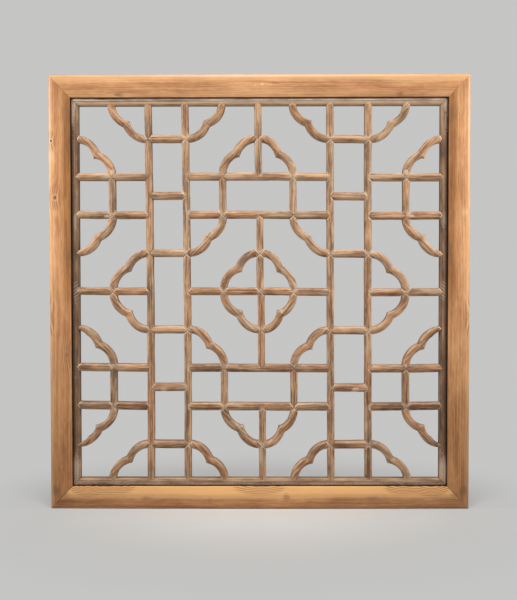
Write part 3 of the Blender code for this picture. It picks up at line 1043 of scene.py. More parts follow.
@dataclass(frozen=True)
class FrameSection:
    """The section of a stile or rail: rounded outside, nearly flat, then falling to the inner lip, with a groove.

    Attributes:
        width: The bar's width.
        outer_round: The outer rounding's width and fall.
        lip_round: The inner lip's rounding.
        pillow: How far the face falls from its middle to the outer rounding.
        lip_fall: How far it falls from its middle to the lip.
        flat_share: The share of the width at which the inner fall starts.
        lip_back: The height at which the lip's rounding ends and its side begins.
        groove_spare: The room on either side of the tongue.
        wear: How far its face and its outer edge may be worn away.
    """

    width: float
    outer_round: Point = (0.0090, 0.0052)
    lip_round: float = 1.0 * MM
    pillow: float = 0.9 * MM
    lip_fall: float = 3.9 * MM
    flat_share: float = 0.40
    lip_back: float = 0.024
    groove_spare: float = 0.3 * MM
    wear: float = 0.5 * MM

    def outline(self) -> tuple[Array, Array, Array, Array]:
        """The section's points, once round from the back's outer corner.

        The roundings are quarter ellipses. The face between them falls outwards by pillow times u^1.6 and
        inwards by lip_fall times u^1.9, with u the share of the way from the level line to either rounding.

        Returns:
            Each point's inset and height, its edge value, and how far it may wear, (columns, 2).
        """
        depth = LAYOUT.frame_depth
        width = self.width
        turn = np.linspace(0, math.pi / 2, 11)
        outer_x = self.outer_round[0] * (1 - np.cos(turn))
        outer_z = depth - self.pillow - self.outer_round[1] * (1 - np.sin(turn))
        level = self.flat_share * width
        face_x = np.linspace(self.outer_round[0], width - self.lip_round, 26)[1:-1]
        outwards = np.clip((level - face_x) / (level - self.outer_round[0]), 0, 1)
        inwards = np.clip((face_x - level) / (width - self.lip_round - level), 0, 1)
        face_z = depth - self.pillow * outwards**1.6 - self.lip_fall * inwards**1.9
        inner_x = width - self.lip_round * (1 - np.sin(turn))
        inner_z = depth - self.lip_fall - self.lip_round * (1 - np.cos(turn))
        groove_front = LAYOUT.lattice_back + LAYOUT.tongue_front + self.groove_spare
        groove_back = LAYOUT.lattice_back + LAYOUT.tongue_back - self.groove_spare
        groove_end = width - LAYOUT.tongue_reach
        tail_x = [width, groove_end, groove_end, width, width, width - MM, width * 0.66, width * 0.33, MM]
        tail_z = [groove_front, groove_front, groove_back, groove_back, MM, 0.0, 0.0, 0.0, 0.0]
        inset = np.concatenate([[0, 0, 0], outer_x, face_x, inner_x, [width], tail_x])
        lead_z = [MM, 0.4 * depth, 0.7 * depth]
        height = np.concatenate([lead_z, outer_z, face_z, inner_z, [self.lip_back], tail_z])
        last_face = 3 + len(outer_x) + len(face_x) + len(inner_x)
        edge = np.full(len(inset), 2.0)
        edge[:3] = 1.3
        edge[3:last_face] = np.abs(2 * inset[3:last_face] / width - 1)
        roll = np.zeros((len(inset), 2))
        roll[3:last_face, 1] = self.wear
        roll[3 : 3 + len(turn), 0] = self.wear * np.cos(turn)
        roll[:3, 0] = self.wear
        return inset, height, edge, roll


@dataclass
class Frame:
    """The broad frame: two stiles and two rails, mitred from corner to corner.

    Attributes:
        wood: Its wood.
        faded: How pale a stile's outer edge, the top rail's lip, the bottom rail's lip and the top rail's
        outer edge are painted: partly sun-fading, partly painted highlight.
        inner_shares: The shares of the width between which the inner part's tone rises.
        outer_shares: The same for the outer edge's, counted inwards below 0.
        lip_shares: The same for the bottom rail's lip.
        golden_levels: The levels between which the stiles turn golden.
        openness: How far the mitres have opened at the top and at the bottom.
    """

    wood: bpy.types.Material
    # Pale edges: partly sun-fading, partly painted highlight on the edges that face the light.
    faded: tuple[float, ...] = (0.7, 0.35, 1.75, 1.45)
    inner_shares: Point = (0.45, 0.85)
    outer_shares: Point = (-0.40, -0.06)
    lip_shares: Point = (0.38, 0.72)
    golden_levels: Point = (-0.55, -0.42)
    openness: Point = (0.15, 0.8)

    def build(self) -> list[bpy.types.Object]:
        """Makes and dresses the four bars.

        A bar's tone is its golden share, which on the stiles rises from the middle to the inner edge and
        fades out lower down. Below 0 it is how pale the edge is, partly sun-fading and partly painted highlight,
        and from -1 to -2 how strong its orange painted highlight is.
        Its flow is how far its rings are pushed aside.

        Returns:
            The new pieces.
        """
        names = ("frame_stile_left", "frame_rail_top", "frame_stile_right", "frame_rail_bottom")
        widths = (LAYOUT.stile_width, LAYOUT.rail_width)
        corner = (LAYOUT.half_width, LAYOUT.top, LAYOUT.bottom)
        made = []
        for number, bar in enumerate(ring(names, corner, widths, 0.0, self.openness)):
            width = widths[number % 2]
            inset, height, edge, roll = FrameSection(width).outline()
            surface = bar.surface(inset, height, edge, roll)
            plan = surface.points[..., ::2]
            share = np.broadcast_to(inset / width, plan.shape[:-1])
            inner = ramp(share, *self.inner_shares)
            outer = ramp(-share, *self.outer_shares)
            # Below 0 the tone paints the edges paler and brighter: partly sun-fading, partly painted highlight.
            stile = inner * ramp(plan[..., 1], *self.golden_levels) - self.faded[0] * outer
            top_rail = -self.faded[3] * outer - self.faded[1] * inner
            rail = top_rail if number == 1 else -self.faded[2] * ramp(share, *self.lip_shares)
            surface.attributes["tone"] = rail if number % 2 else stile
            surface.attributes["flow"] = flame_shift(plan)
            made.append(dressed(surface.build(bar.name, 50.0), self.wood, (bar.name,)))
        return made


@dataclass
class Border:
    """The four bars round the lattice, whose tongue sits in the frame's groove.

    Attributes:
        wood: Their weathered wood.
        strip: How far in from the outer edge the weathered strip reaches, to its fine groove.
        bleaching: How bleached the side, top and bottom bars are; the side bars' low share also
        darkens them as painted shade of the frame.
        low: How much more the sides are at their lower ends, and between which depths that rises.
        high: The same for the top corners, between two levels.
        wear: How far the crown may be worn down.
        openness: How far the mitres have opened at the top and at the bottom.
    """

    wood: bpy.types.Material
    strip: float = 6.6 * MM
    # The side bars' low share also stands for the painted shade that the frame casts on them.
    bleaching: dict[str, float] = own_table(
        {"border_left": 0.1, "border_top": 1.0, "border_right": 0.1, "border_bottom": 0.6}
    )
    low: Triple = (0.55, 0.775, 0.815)
    high: Triple = (0.42, -0.130, -0.065)
    wear: float = 0.5 * MM
    openness: Point = (0.6, 0.8)

    def outline(self) -> tuple[Array, Array, Array, Array]:
        """The section's points, once round from the back's outer corner, with the tongue on its outer side.

        The crown is an ellipse from the outer shoulder to the inner one, less a fine groove that is a bell
        round the strip's inner edge.

        Returns:
            Each point's inset, height and edge value, and how far it may wear.
        """
        width, shoulder = LAYOUT.border_width, LAYOUT.shoulder
        turn = np.linspace(0, math.pi, 31)
        crown_x = width / 2 * (1 - np.cos(turn))
        groove = 0.75 * MM * bell(crown_x - self.strip, 0.6 * MM)
        crown_z = shoulder + LAYOUT.crown_rise * np.sin(turn) ** 0.8 - groove
        reach, back, front = LAYOUT.tongue_reach, LAYOUT.tongue_back, LAYOUT.tongue_front
        inset = np.concatenate([[0.5 * MM, 0, 0, -reach, -reach, 0], crown_x, [width, width, width - 0.7 * MM]])
        height = np.concatenate([[0, 0.5 * MM, back, back, front, front], crown_z, [0.5 * shoulder, 0.7 * MM, 0]])
        edge = np.full(len(inset), 2.0)
        crown = slice(6, 6 + len(turn))
        edge[crown] = np.abs(2 * crown_x / width - 1)
        roll = np.zeros((len(inset), 2))
        roll[crown, 1] = self.wear
        return inset, height, edge, roll

    def tones(self, name: str, plan: Array) -> Array:
        """How bleached a bar is at each point: its own share, and more low down and in the top corners. On the
        side bars a low share also stands for painted shade of the frame.

        Args:
            name: The bar's name.
            plan: Its points in plan.

        Returns:
            The share at each point.
        """
        low = self.low[0] * ramp(-plan[..., 1], *self.low[1:])
        high = self.high[0] * ramp(plan[..., 1], *self.high[1:])
        aside = name in ("border_left", "border_right")
        return self.bleaching[name] + aside * (low + high)

    def build(self) -> list[bpy.types.Object]:
        """Makes and dresses the four bars.

        Returns:
            The new pieces.
        """
        width = LAYOUT.border_width
        made = []
        bars = ring(
            tuple(self.bleaching), LAYOUT.panel, (width, width), LAYOUT.lattice_back, self.openness
        )
        for bar in bars:
            surface = bar.surface(*self.outline())
            surface.attributes["tone"] = self.tones(bar.name, surface.points[..., ::2])
            made.append(dressed(surface.build(bar.name, 50.0), self.wood, (bar.name,)))
        return made


@dataclass
class Lattice:
    """All the sticks between the borders, straight and curved.

    Attributes:
        wood: Their wood.
        rung_rows: The rows at which the ladders have rungs.
        side_pair_rows: The rows of the side bars that come in pairs.
        crossbar_rows: The rows of the crossbars between the ladders.
        centre_uprights: Each centre upright's first row, last row and how far it stands out of line.
        curves: The curved sticks of the upper left quarter, each given by its ends' columns and rows.
        spurs: How far the spur of each of them stands out, in mm.
        leaf_tips: The curved sticks whose lower lobe ends in a long spur.
        leaf_spur: How far that one stands out, in mm.
        lobe_turn: The angle in degrees through which a lobe turns, and how far it may vary.
        hooks: How blunt and how slimmed the curved sticks' ends at the side borders are.
        tones: How light the level sticks of a row are, at the sides and between the ladders: partly their own
            tones, partly painted shade that darkens the lower rows, most of all the lowest side bars.
        rung_tones: How light the rungs are: partly their own tones, partly painted shade on the lowest one.
    """

    wood: bpy.types.Material
    rung_rows: tuple[float, ...] = (1, 2.5, 4, 6, 7.5, 9)
    side_pair_rows: dict[Level, tuple[int, int]] = own_table({Level.UPPER: (2, 3), Level.LOWER: (7, 8)})
    crossbar_rows: dict[str, int] = own_table({"top": 2, "upper": 3, "middle": 5, "lower": 7, "bottom": 8})
    centre_uprights: dict[str, tuple[int, int, float]] = own_table({
        "top": (0, 2, -1.3 * MM),
        "upper": (3, 5, 2.2 * MM),
        "lower": (5, 7, 4.3 * MM),
        "bottom": (8, 10, 5.6 * MM),
    })
    curves: dict[str, tuple[GridPoint, GridPoint]] = own_table({
        "head_curve_outer": ((OUTER_LINE, 1), (SHORT_LINE, 0)),
        "head_curve_inner": ((INNER_LINE, 1), (PANEL_LINE, 0)),
        "side_curve_outer": ((BORDER_LINE, 1), (SHORT_LINE, 2)),
        "side_curve_inner": ((BORDER_LINE, 4), (SHORT_LINE, 3)),
        "side_medallion": ((OUTER_LINE, 4), (SHORT_LINE, 5)),
        "panel_curve_outer": ((MIDDLE_LINE, 1), (PANEL_LINE, 2)),
        "panel_curve_inner": ((INNER_LINE, 4), (PANEL_LINE, 3)),
        "centre_medallion": ((MIDDLE_LINE, 4), (PANEL_LINE, 5)),
    })
    spurs: tuple[float, ...] = (0.9, 1.0, 2.4, 1.8, 0.5, 1.4, 1.8, 1.2)
    leaf_tips: tuple[str, ...] = ("centre_medallion_lower_right", "panel_curve_outer_lower_right")
    leaf_spur: float = 3.2
    lobe_turn: Point = (74.0, 5.0)
    hooks: dict[str, Point] = own_table({
        "side_curve_outer_upper": (0.62, 0.0),
        "side_curve_inner_upper": (0.0, 0.15),
        "side_curve_inner_lower": (0.50, 0.36),
        "side_curve_outer_lower": (0.30, 0.48),
    })
    # The rows' and rungs' tones are partly the sticks' own, partly painted shade that darkens the lower rows.
    tones: dict[float, Point] = own_table(
        {2: (0.5, 1.2), 3: (-0.6, -0.8), 5: (0.0, -0.6), 7: (-0.2, -2.0), 8: (-3.2, -0.8)}
    )
    rung_tones: tuple[float, ...] = (0.8, -0.8, 1.4, 0.9, 0.0, -1.8)

    def place(self, column: float, row: float) -> Point:
        """A point of the grid, on the centre upright itself where the column is the middle one.

        Args:
            column: Its column line.
            row: Its row line.

        Returns:
            The point in plan.
        """
        x = LAYOUT.column(int(column))
        for first, last, shift in self.centre_uprights.values():
            if column == MIDDLE_LINE and first < row < last:
                x += shift
        return x, LAYOUT.row(row)

    def carried_by(self, line: float, otherwise: Carrier) -> Carrier:
        """What an end on a line meets: a border on the first and the last one."""
        return Carrier.BORDER if line in (0, LAYOUT.last_line) else otherwise

    def upright(self, name: str, node: str, x: float, rows: tuple[float, float]) -> Stick:
        """A straight stick that runs up the lattice.

        Args:
            name: Its name.
            node: Its CAD node.
            x: Where it stands.
            rows: The rows at its ends.

        Returns:
            The stick.
        """
        ends = [(x, LAYOUT.row(row)) for row in rows]
        carriers = tuple(self.carried_by(row, Carrier.CROSSBAR) for row in rows)
        return Stick(name, (node,), LAYOUT.upright_width, straight_halves(*ends), carriers)

    def crossbar(self, name: str, node: str, columns: tuple[float, float], row: float, tone: float) -> Stick:
        """A straight stick that runs across the lattice.

        Args:
            name: Its name.
            node: Its CAD node.
            columns: The columns at its ends.
            row: The row on which it lies.
            tone: How light its wood is, which on the lower rows also stands for painted shade.

        Returns:
            The stick.
        """
        ends = [(LAYOUT.column(int(column)), LAYOUT.row(row)) for column in columns]
        carriers = tuple(self.carried_by(column, Carrier.UPRIGHT) for column in columns)
        return Stick(name, (node,), LAYOUT.crossbar_width, straight_halves(*ends), carriers, tone=tone)

    def ladder(self, side: Side) -> list[Stick]:
        """The two full-height uprights of one side with the rungs between them.

        Args:
            side: The side.

        Returns:
            The sticks.
        """
        flip = side is Side.RIGHT
        node = f"ladder_{side.word}"
        outer, inner = mirrored(OUTER_LINE, flip), mirrored(INNER_LINE, flip)
        whole = (0, LAYOUT.last_line)
        sticks = [
            self.upright(f"upright_{side.word}_{where}", node, LAYOUT.column(column), whole)
            for where, column in (("outer", outer), ("inner", inner))
        ]
        rungs = [
            self.crossbar(f"rung_{side.word}_{number}", node, (outer, inner), row, tone)
            for number, (row, tone) in enumerate(zip(self.rung_rows, self.rung_tones), 1)
        ]
        return sticks + rungs

    def side_bay(self, side: Side) -> list[Stick]:
        """The bars between one side's border and its ladder, and the short uprights of that side.

        Args:
            side: The side.

        Returns:
            The sticks.
        """
        flip = side is Side.RIGHT
        border, short, outer, panel = (
            mirrored(line, flip) for line in (BORDER_LINE, SHORT_LINE, OUTER_LINE, PANEL_LINE)
        )
        middle = f"side_bar_middle_{side.word}"
        sticks = [self.crossbar(middle, middle, (border, outer), MIDDLE_LINE, self.tones[MIDDLE_LINE][0])]
        for level, rows in self.side_pair_rows.items():
            group = f"side_group_{level.word}_{side.word}"
            for place, row in zip(("high", "low"), rows):
                name = f"side_bar_{level.word}_{side.word}_{place}"
                sticks.append(self.crossbar(name, group, (border, outer), row, self.tones[row][0]))
            name = f"side_upright_{level.word}_{side.word}"
            sticks.append(self.upright(name, group, LAYOUT.column(short), rows))
            name = f"short_upright_{level.word}_{side.word}"
            sticks.append(self.upright(name, name, LAYOUT.column(panel), rows))
        return sticks

    def centre(self) -> list[Stick]:
        """The crossbars between the ladders and the centre uprights.

        Returns:
            The sticks.
        """
        columns = (INNER_LINE, mirrored(INNER_LINE, True))
        sticks = []
        for place, row in self.crossbar_rows.items():
            node = "centre_cross" if place == "middle" else f"crossbar_{place}"
            sticks.append(self.crossbar(f"crossbar_{place}", node, columns, row, self.tones[row][1]))
        for place, (first, last, shift) in self.centre_uprights.items():
            node = f"centre_upright_{place}" if place in ("top", "bottom") else "centre_cross"
            sticks.append(self.upright(f"centre_upright_{place}", node, shift, (first, last)))
        return sticks

    def curve(self, name: str, ends: tuple[GridPoint, GridPoint], spur: float) -> Stick:
        """A curved stick from an upright to a crossbar.

        Args:
            name: Its name.
            ends: The column and the row of each end.
            spur: How far its spur stands out, in mm.

        Returns:
            The stick.
        """
        (column, row), (other_column, other_row) = ends
        degrees = self.lobe_turn[0] + self.lobe_turn[1] * (seeded(name).random() - 0.5)
        halves = cusped_halves(self.place(column, row), self.place(other_column, other_row), degrees)
        carriers = (self.carried_by(column, Carrier.UPRIGHT), self.carried_by(other_row, Carrier.CROSSBAR))
        leafy = name in self.leaf_tips
        spur = (self.leaf_spur if leafy else spur) * MM
        hook = self.hooks.get(name.rsplit("_", 1)[0], (0.0, 0.0))
        return Stick(name, (name,), LAYOUT.curve_width, halves, carriers, 1.6 * MM, spur, not leafy, *hook)

    def curved(self) -> list[Stick]:
        """The curved sticks: each one of the upper left quarter, with its three reflections.

        Returns:
            The sticks.
        """
        sticks = []
        for (name, ends), spur in zip(self.curves.items(), self.spurs):
            for side in Side:
                for level in Level:
                    flips = (side is Side.RIGHT, level is Level.LOWER)
                    turned = tuple(
                        (int(mirrored(column, flips[0])), int(mirrored(row, flips[1]))) for column, row in ends
                    )
                    sticks.append(self.curve(f"{name}_{level.word}_{side.word}", turned, spur))
        return sticks

    def build(self) -> list[bpy.types.Object]:
        """Makes and dresses every stick.

        Returns:
            The new pieces.
        """
        sticks = [stick for side in Side for stick in self.ladder(side) + self.side_bay(side)]
        sticks += self.centre() + self.curved()
        for stick in sticks:
            stick.note_meetings(sticks)
        return [
            dressed(stick.surface().build(stick.name), self.wood, stick.nodes) for stick in sticks
        ]


Operand = "Value | float | Sequence[float]"


@dataclass(frozen=True)
class Pattern:
    """A noise in the timber.

    Attributes:
        scale: How many times a metre it changes along, across and through the grain.
        shift: What sets it apart from the other noises of the same timber.
        detail: How many finer waves it has.
        roughness: How strong those are.
    """

    scale: Triple
    shift: Triple = (0.0, 0.0, 0.0)
    detail: float = 3.0
    roughness: float = 0.55


@dataclass(frozen=True)
class Value:
    """A node's output that Python's operators work on: each operation adds its Math node.

    Attributes:
        sheet: The node tree that it belongs to.
        socket: The output.
    """

    sheet: "Sheet"
    socket: bpy.types.NodeSocket

    def _math(self, operation: str, *operands: Operand) -> "Value":
        """Adds a Math node of these operands."""
        return self.sheet.add("ShaderNodeMath", {"operation": operation}, dict(enumerate(operands)))

    def __add__(self, other: Operand) -> "Value":
        """Self plus other."""
        return self._math("ADD", self, other)

    __radd__ = __add__

    def __sub__(self, other: Operand) -> "Value":
        """Self minus other."""
        return self._math("SUBTRACT", self, other)

    def __rsub__(self, other: Operand) -> "Value":
        """Other minus self."""
        return self._math("SUBTRACT", other, self)

    def __mul__(self, other: Operand) -> "Value":
        """Self times other."""
        return self._math("MULTIPLY", self, other)

    __rmul__ = __mul__

    def __pow__(self, other: Operand) -> "Value":
        """Self to the power of other."""
        return self._math("POWER", self, other)

    def sine(self) -> "Value":
        """Its sine."""
        return self._math("SINE", self)

    def fraction(self) -> "Value":
        """What is left of it above the whole number below it."""
        return self._math("FRACT", self)

    def magnitude(self) -> "Value":
        """It without its sign."""
        return self._math("ABSOLUTE", self)

    def larger(self, other: Operand) -> "Value":
        """The larger of the two."""
        return self._math("MAXIMUM", self, other)

    def _eased(self, low: float, high: float, first: float, last: float) -> "Value":
        """Goes smoothly from first, where it is low, to last, where it is high."""
        inputs = {"Value": self, "From Min": low, "From Max": high, "To Min": first, "To Max": last}
        return self.sheet.add("ShaderNodeMapRange", {"interpolation_type": "SMOOTHSTEP"}, inputs)

    def rising(self, low: float, high: float) -> "Value":
        """Rises smoothly from 0 at low to 1 at high."""
        return self._eased(low, high, 0.0, 1.0)

    def falling(self, low: float, high: float) -> "Value":
        """Falls smoothly from 1 at low to 0 at high."""
        return self._eased(low, high, 1.0, 0.0)


class Sheet:
    """A material's node tree, with one method that adds any node."""

    def __init__(self, name: str) -> None:
        """Makes the material with its Principled shader.

        Args:
            name: The material's name.
        """
        self.material = bpy.data.materials.new(name)
        self.material.use_nodes = True
        self.tree = self.material.node_tree
        self.shader = self.tree.nodes["Principled BSDF"]

    def add(self, kind: str, settings: dict, inputs: dict, output: int | str = 0) -> Value:
        """Adds a node.

        Args:
            kind: The node's type.
            settings: Its own settings, set before its sockets; stops are a ramp's (place, colour) pairs.
            inputs: The value or link of each socket, by its name or number.
            output: The output that is wanted.

        Returns:
            That output.
        """
        node = self.tree.nodes.new(kind)
        for key, setting in settings.items():
            if key == "stops":
                self.set_stops(node.color_ramp, setting)
            else:
                setattr(node, key, setting)
        for key, given in inputs.items():
            self.feed(node.inputs[key], given)
        return Value(self, node.outputs[output])

    def feed(self, socket: bpy.types.NodeSocket, given: Operand) -> None:
        """Links a value to a socket, or sets the socket to a number, colour or vector.

        Args:
            socket: A node's input.
            given: What it gets.
        """
        if isinstance(given, Value):
            self.tree.links.new(given.socket, socket)
        else:
            socket.default_value = given

    @staticmethod
    def set_stops(band: bpy.types.ColorRamp, stops: Sequence[tuple[float, Colour]]) -> None:
        """Sets a ramp's stops.

        Args:
            band: The ramp.
            stops: Each stop's place from 0 to 1 and its colour.
        """
        while len(band.elements) < len(stops):
            band.elements.new(0.5)
        for element, (place, colour) in zip(band.elements, stops):
            element.position = place
            element.color = (*colour, 1.0)

    def attribute(self, name: str, output: str = "Fac") -> Value:
        """A mesh attribute of the piece."""
        return self.add("ShaderNodeAttribute", {"attribute_name": name}, {}, output)

    def split(self, vector: Value) -> tuple[Value, Value, Value]:
        """A vector's three numbers."""
        node = self.add("ShaderNodeSeparateXYZ", {}, {0: vector}).socket.node
        return tuple(Value(self, socket) for socket in node.outputs)

    def joined(self, *numbers: Operand) -> Value:
        """A vector of three numbers."""
        return self.add("ShaderNodeCombineXYZ", {}, dict(enumerate(numbers)))

    def place(self) -> Value:
        """The place on the screen."""
        return self.add("ShaderNodeTexCoord", {}, {}, "Object")

    def length(self, vector: Value) -> Value:
        """A vector's length."""
        return self.add("ShaderNodeVectorMath", {"operation": "LENGTH"}, {0: vector}, "Value")

    def stretched(self, vector: Value, scale: Triple, shift: Triple = (0.0, 0.0, 0.0)) -> Value:
        """A vector times a scale plus a shift, each number by itself."""
        return self.add("ShaderNodeVectorMath", {"operation": "MULTIPLY_ADD"}, {0: vector, 1: scale, 2: shift})

    def noise(self, vector: Value, pattern: Pattern) -> Value:
        """Smooth noise about 0.5.

        Args:
            vector: The place in the timber.
            pattern: The noise's scale, place and fineness.

        Returns:
            The noise there.
        """
        place = self.stretched(vector, pattern.scale, pattern.shift)
        inputs = {"Vector": place, "Scale": 1.0, "Detail": pattern.detail, "Roughness": pattern.roughness}
        return self.add("ShaderNodeTexNoise", {}, inputs)

    def painted(self, colour: Value, *coats: tuple) -> Value:
        """Lays coats over a colour, one after the other.

        Args:
            colour: The colour below.
            coats: Each one's share and its colour, and how it is laid on where that isn't a plain mix.

        Returns:
            The colour on top.
        """
        for share, over, *how in coats:
            colour = self.mixed(share, colour, over, *how)
        return colour

    def mixed(self, share: Operand, first: Operand, second: Operand, how: str = "MIX") -> Value:
        """Mixes a share of the second colour into the first.

        Args:
            share: The share, from 0 to 1.
            first: A colour.
            second: Another one.
            how: The kind of mixing.

        Returns:
            The mixed colour.
        """
        settings = {"data_type": "RGBA", "blend_type": how, "clamp_factor": True}
        colours = [(*given, 1.0) if isinstance(given, tuple) else given for given in (first, second)]
        return self.add("ShaderNodeMix", settings, {0: share, 6: colours[0], 7: colours[1]}, 2)

    def ramp(self, place: Value, stops: Sequence[tuple[float, Colour]]) -> Value:
        """A colour ramp."""
        return self.add("ShaderNodeValToRGB", {"stops": stops}, {0: place})

    def spots(
        self, spots: Iterable[Spot], kind: SpotKind, ragged: Operand, reach: Point = (0.55, 1.0)
    ) -> Value:
        """How strongly the spots of one kind cover each place of the screen.

        A spot's cover falls from its strength to 0 while length((place - middle) / size) + ragged passes from
        the first to the second number of reach. Twins are measured from |x|.

        Args:
            spots: The spots of all kinds.
            kind: The kind that is wanted.
            ragged: Noise that breaks up their rims.
            reach: Where a spot's cover falls, in shares of its size.

        Returns:
            The strongest cover at the place.
        """
        place = self.place()
        x, _, z = self.split(place)
        folded = self.joined(x.magnitude(), 0.0, z)
        cover: Value | None = None
        for spot in spots:
            if spot.kind is not kind:
                continue
            scale = (1 / spot.size[0], 0.0, 1 / spot.size[1])
            x_middle = abs(spot.place[0]) if spot.twin else spot.place[0]
            shift = (-x_middle * scale[0], 0.0, -spot.place[1] * scale[2])
            away = self.stretched(folded if spot.twin else place, scale, shift)
            share = (self.length(away) + ragged).falling(*reach) * spot.strength
            cover = share if cover is None else cover.larger(share)
        return cover

    def finish(
        self, colour: Value, roughness: Operand, height: Value, relief: float
    ) -> bpy.types.Material:
        """Feeds the shader its colour, roughness and bump.

        Args:
            colour: The base colour.
            roughness: The roughness.
            height: The height of the fine relief, from 0 to 1.
            relief: The depth of that relief in metres.

        Returns:
            The finished material.
        """
        self.feed(self.shader.inputs["Base Color"], colour)
        self.feed(self.shader.inputs["Roughness"], roughness)
        bump = self.add("ShaderNodeBump", {}, {"Strength": 1.0, "Distance": relief, "Height": height})
        self.feed(self.shader.inputs["Normal"], bump)
        return self.material


@dataclass(frozen=True)
class StickWood:
    """The finish of the lattice sticks: tan-brown, dry and streaked, with dark cracks and chipped ends.

    Attributes:
        crack: The colour of cracks and of the gaps at the joints, also painted as shade along the cusp's crease.
        dark: The colour of the dark streaks, also painted as shade on the crown's edges, down the sides and near
            the joints.
        middle: The common colour.
        light: The colour of the pale streaks, and of the worn shoulders with their painted sheen.
        rosy: What tints the rosy stretches.
        grey: What tints the dry grey ones.
        worn: A patch whose finish has gone.
        bare: The bare wood of a chip.
        levels: The shades that are dark, middle and light.
        drift: The slow drift that bends the grain and tints it.
        bend: How far the drift bends the grain, along, across and through it.
        streaks, fibres, clouds: The three noises of its figure.
        specks: What breaks up the rims of the spots.
        blots: What breaks up the worn shoulders and their painted sheen.
        splits: The fine cracks.
    """

    crack: Colour = (0.060, 0.028, 0.014)
    dark: Colour = (0.165, 0.080, 0.037)
    middle: Colour = (0.375, 0.203, 0.103)
    light: Colour = (0.610, 0.385, 0.222)
    rosy: Colour = (1.080, 0.960, 0.900)
    grey: Colour = (0.900, 1.020, 1.120)
    worn: Colour = (0.235, 0.155, 0.118)
    bare: Colour = (0.780, 0.600, 0.430)
    levels: Triple = (0.420, 0.495, 0.580)
    drift: Pattern = Pattern((9.0, 30.0, 30.0), (3.0, 1.0, 7.0), 2.0)
    bend: Triple = (0.004, 0.010, 0.006)
    streaks: Pattern = Pattern((9.0, 330.0, 230.0), detail=4.0, roughness=0.62)
    fibres: Pattern = Pattern((45.0, 1700.0, 1200.0))
    clouds: Pattern = Pattern((20.0, 60.0, 60.0), (5.0, 3.0, 1.0))
    specks: Pattern = Pattern((330.0, 620.0, 620.0), detail=2.0)
    blots: Pattern = Pattern((70.0, 150.0, 150.0), (2.0, 4.0, 6.0), 2.0)
    splits: Pattern = Pattern((14.0, 700.0, 500.0), (9.0, 2.0, 5.0), 2.0)

    def grained(self, sheet: Sheet, grain: Value, tone: Value) -> tuple[Value, Value, Value]:
        """The clean wood: streaks along the grain, fine fibres and slow clouds, darker or lighter by the stick.

        Args:
            sheet: The node tree.
            grain: The place in the timber.
            tone: How light the stick is.

        Returns:
            Its colour, its streaks and its fibres.
        """
        drift = sheet.noise(grain, self.drift)
        bent = sheet.joined(*(drift * share for share in self.bend))
        place = sheet.add("ShaderNodeVectorMath", {"operation": "ADD"}, {0: grain, 1: bent})
        streak = sheet.noise(place, self.streaks)
        fibre = sheet.noise(place, self.fibres)
        cloud = sheet.noise(grain, self.clouds)
        # The tone makes a stick lighter or darker: partly its own wood, partly painted shade on the lower rows.
        shade = 0.50 * streak + 0.18 * fibre + 0.32 * cloud + 0.022 * tone
        colour = sheet.ramp(shade, tuple(zip(self.levels, (self.dark, self.middle, self.light))))
        rosy = drift.rising(0.50, 0.62) * 0.8
        grey = drift.falling(0.38, 0.50) * 0.8
        colour = sheet.painted(colour, (rosy, self.rosy, "MULTIPLY"), (grey, self.grey, "MULTIPLY"))
        return colour, streak, fibre

    def material(self) -> bpy.types.Material:
        """Builds the material from the piece's attributes, and its spots from the place on the screen.

        Returns:
            The material.
        """
        sheet = Sheet("stick_wood")
        grain = sheet.attribute("grain", "Vector")
        near, number, cusp = sheet.split(sheet.attribute("joint", "Vector"))
        edge = sheet.attribute("edge")
        colour, streak, fibre = self.grained(sheet, grain, sheet.attribute("tone"))
        speck = sheet.noise(grain, self.specks)
        blot = sheet.noise(grain, self.blots)
        # Paler shoulders: partly wear, partly a painted sheen along the crown's edges.
        wear_and_sheen = edge.rising(0.35, 0.70) * edge.falling(0.80, 0.95) * blot.rising(0.42, 0.60)
        close = near.falling(6.0, 34.0) * 0.060
        cracked = (sheet.noise(grain, self.splits) - close).falling(0.265, 0.305)
        worn = sheet.spots(STICK_SPOTS, WORN, 1.4 * (speck - 0.5))
        chip = sheet.spots(STICK_SPOTS, PALE, 1.2 * (speck - 0.5), (0.80, 1.0))
        hole = sheet.spots(STICK_SPOTS, HOLE, 0.0)
        own, second, third = ((number * share).fraction() for share in (5.3, 9.1, 3.7))
        ends = near.falling(0.5, 6.0) * own.rising(0.55, 1.0) * (speck + 0.3 * blot).rising(0.66, 0.76)
        rim = near.rising(0.5, 0.9) * near.falling(1.6, 2.9) * second.rising(0.0, 0.5)
        rim = rim * edge.falling(0.9, 1.1) * (0.60 + 0.8 * blot)
        bare = chip.larger(ends).larger(rim)
        # Painted shade: the wood darkens within a few mm of each joint.
        joint_shade = near.falling(0.6, 4.5) * (0.10 + 0.30 * third)
        seam = near.falling(0.30, 0.80) * (0.30 + 0.50 * number)
        # Painted shade: a faint dark line along the cusp's crease. The joint lines and holes below are dark in
        # the wood itself.
        fold = cusp.falling(0.4, 1.8) * edge.falling(0.9, 1.2) * 0.16 * own
        dirt = seam.larger(fold).larger(hole) * edge.falling(1.1, 1.4)
        colour = sheet.painted(
            colour,
            (wear_and_sheen * 0.40, self.light),
            # Painted shade: darker towards the crown's edges, and much darker down the sides.
            (edge.rising(0.85, 1.05) * 0.15, self.dark),
            (edge.rising(1.05, 1.8) * 0.60, self.dark),
            (cracked * 0.8, self.crack),
            (worn * (0.2 + 1.2 * streak), self.worn),
            (joint_shade, self.dark),
            (bare * 0.85, self.bare),
            (dirt, self.crack),
        )
        roughness = 0.47 + 0.25 * fibre + 0.15 * bare
        height = 0.6 * streak + 0.4 * fibre - 0.5 * cracked - 0.4 * hole
        return sheet.finish(colour, roughness, height, 0.7 * MM)


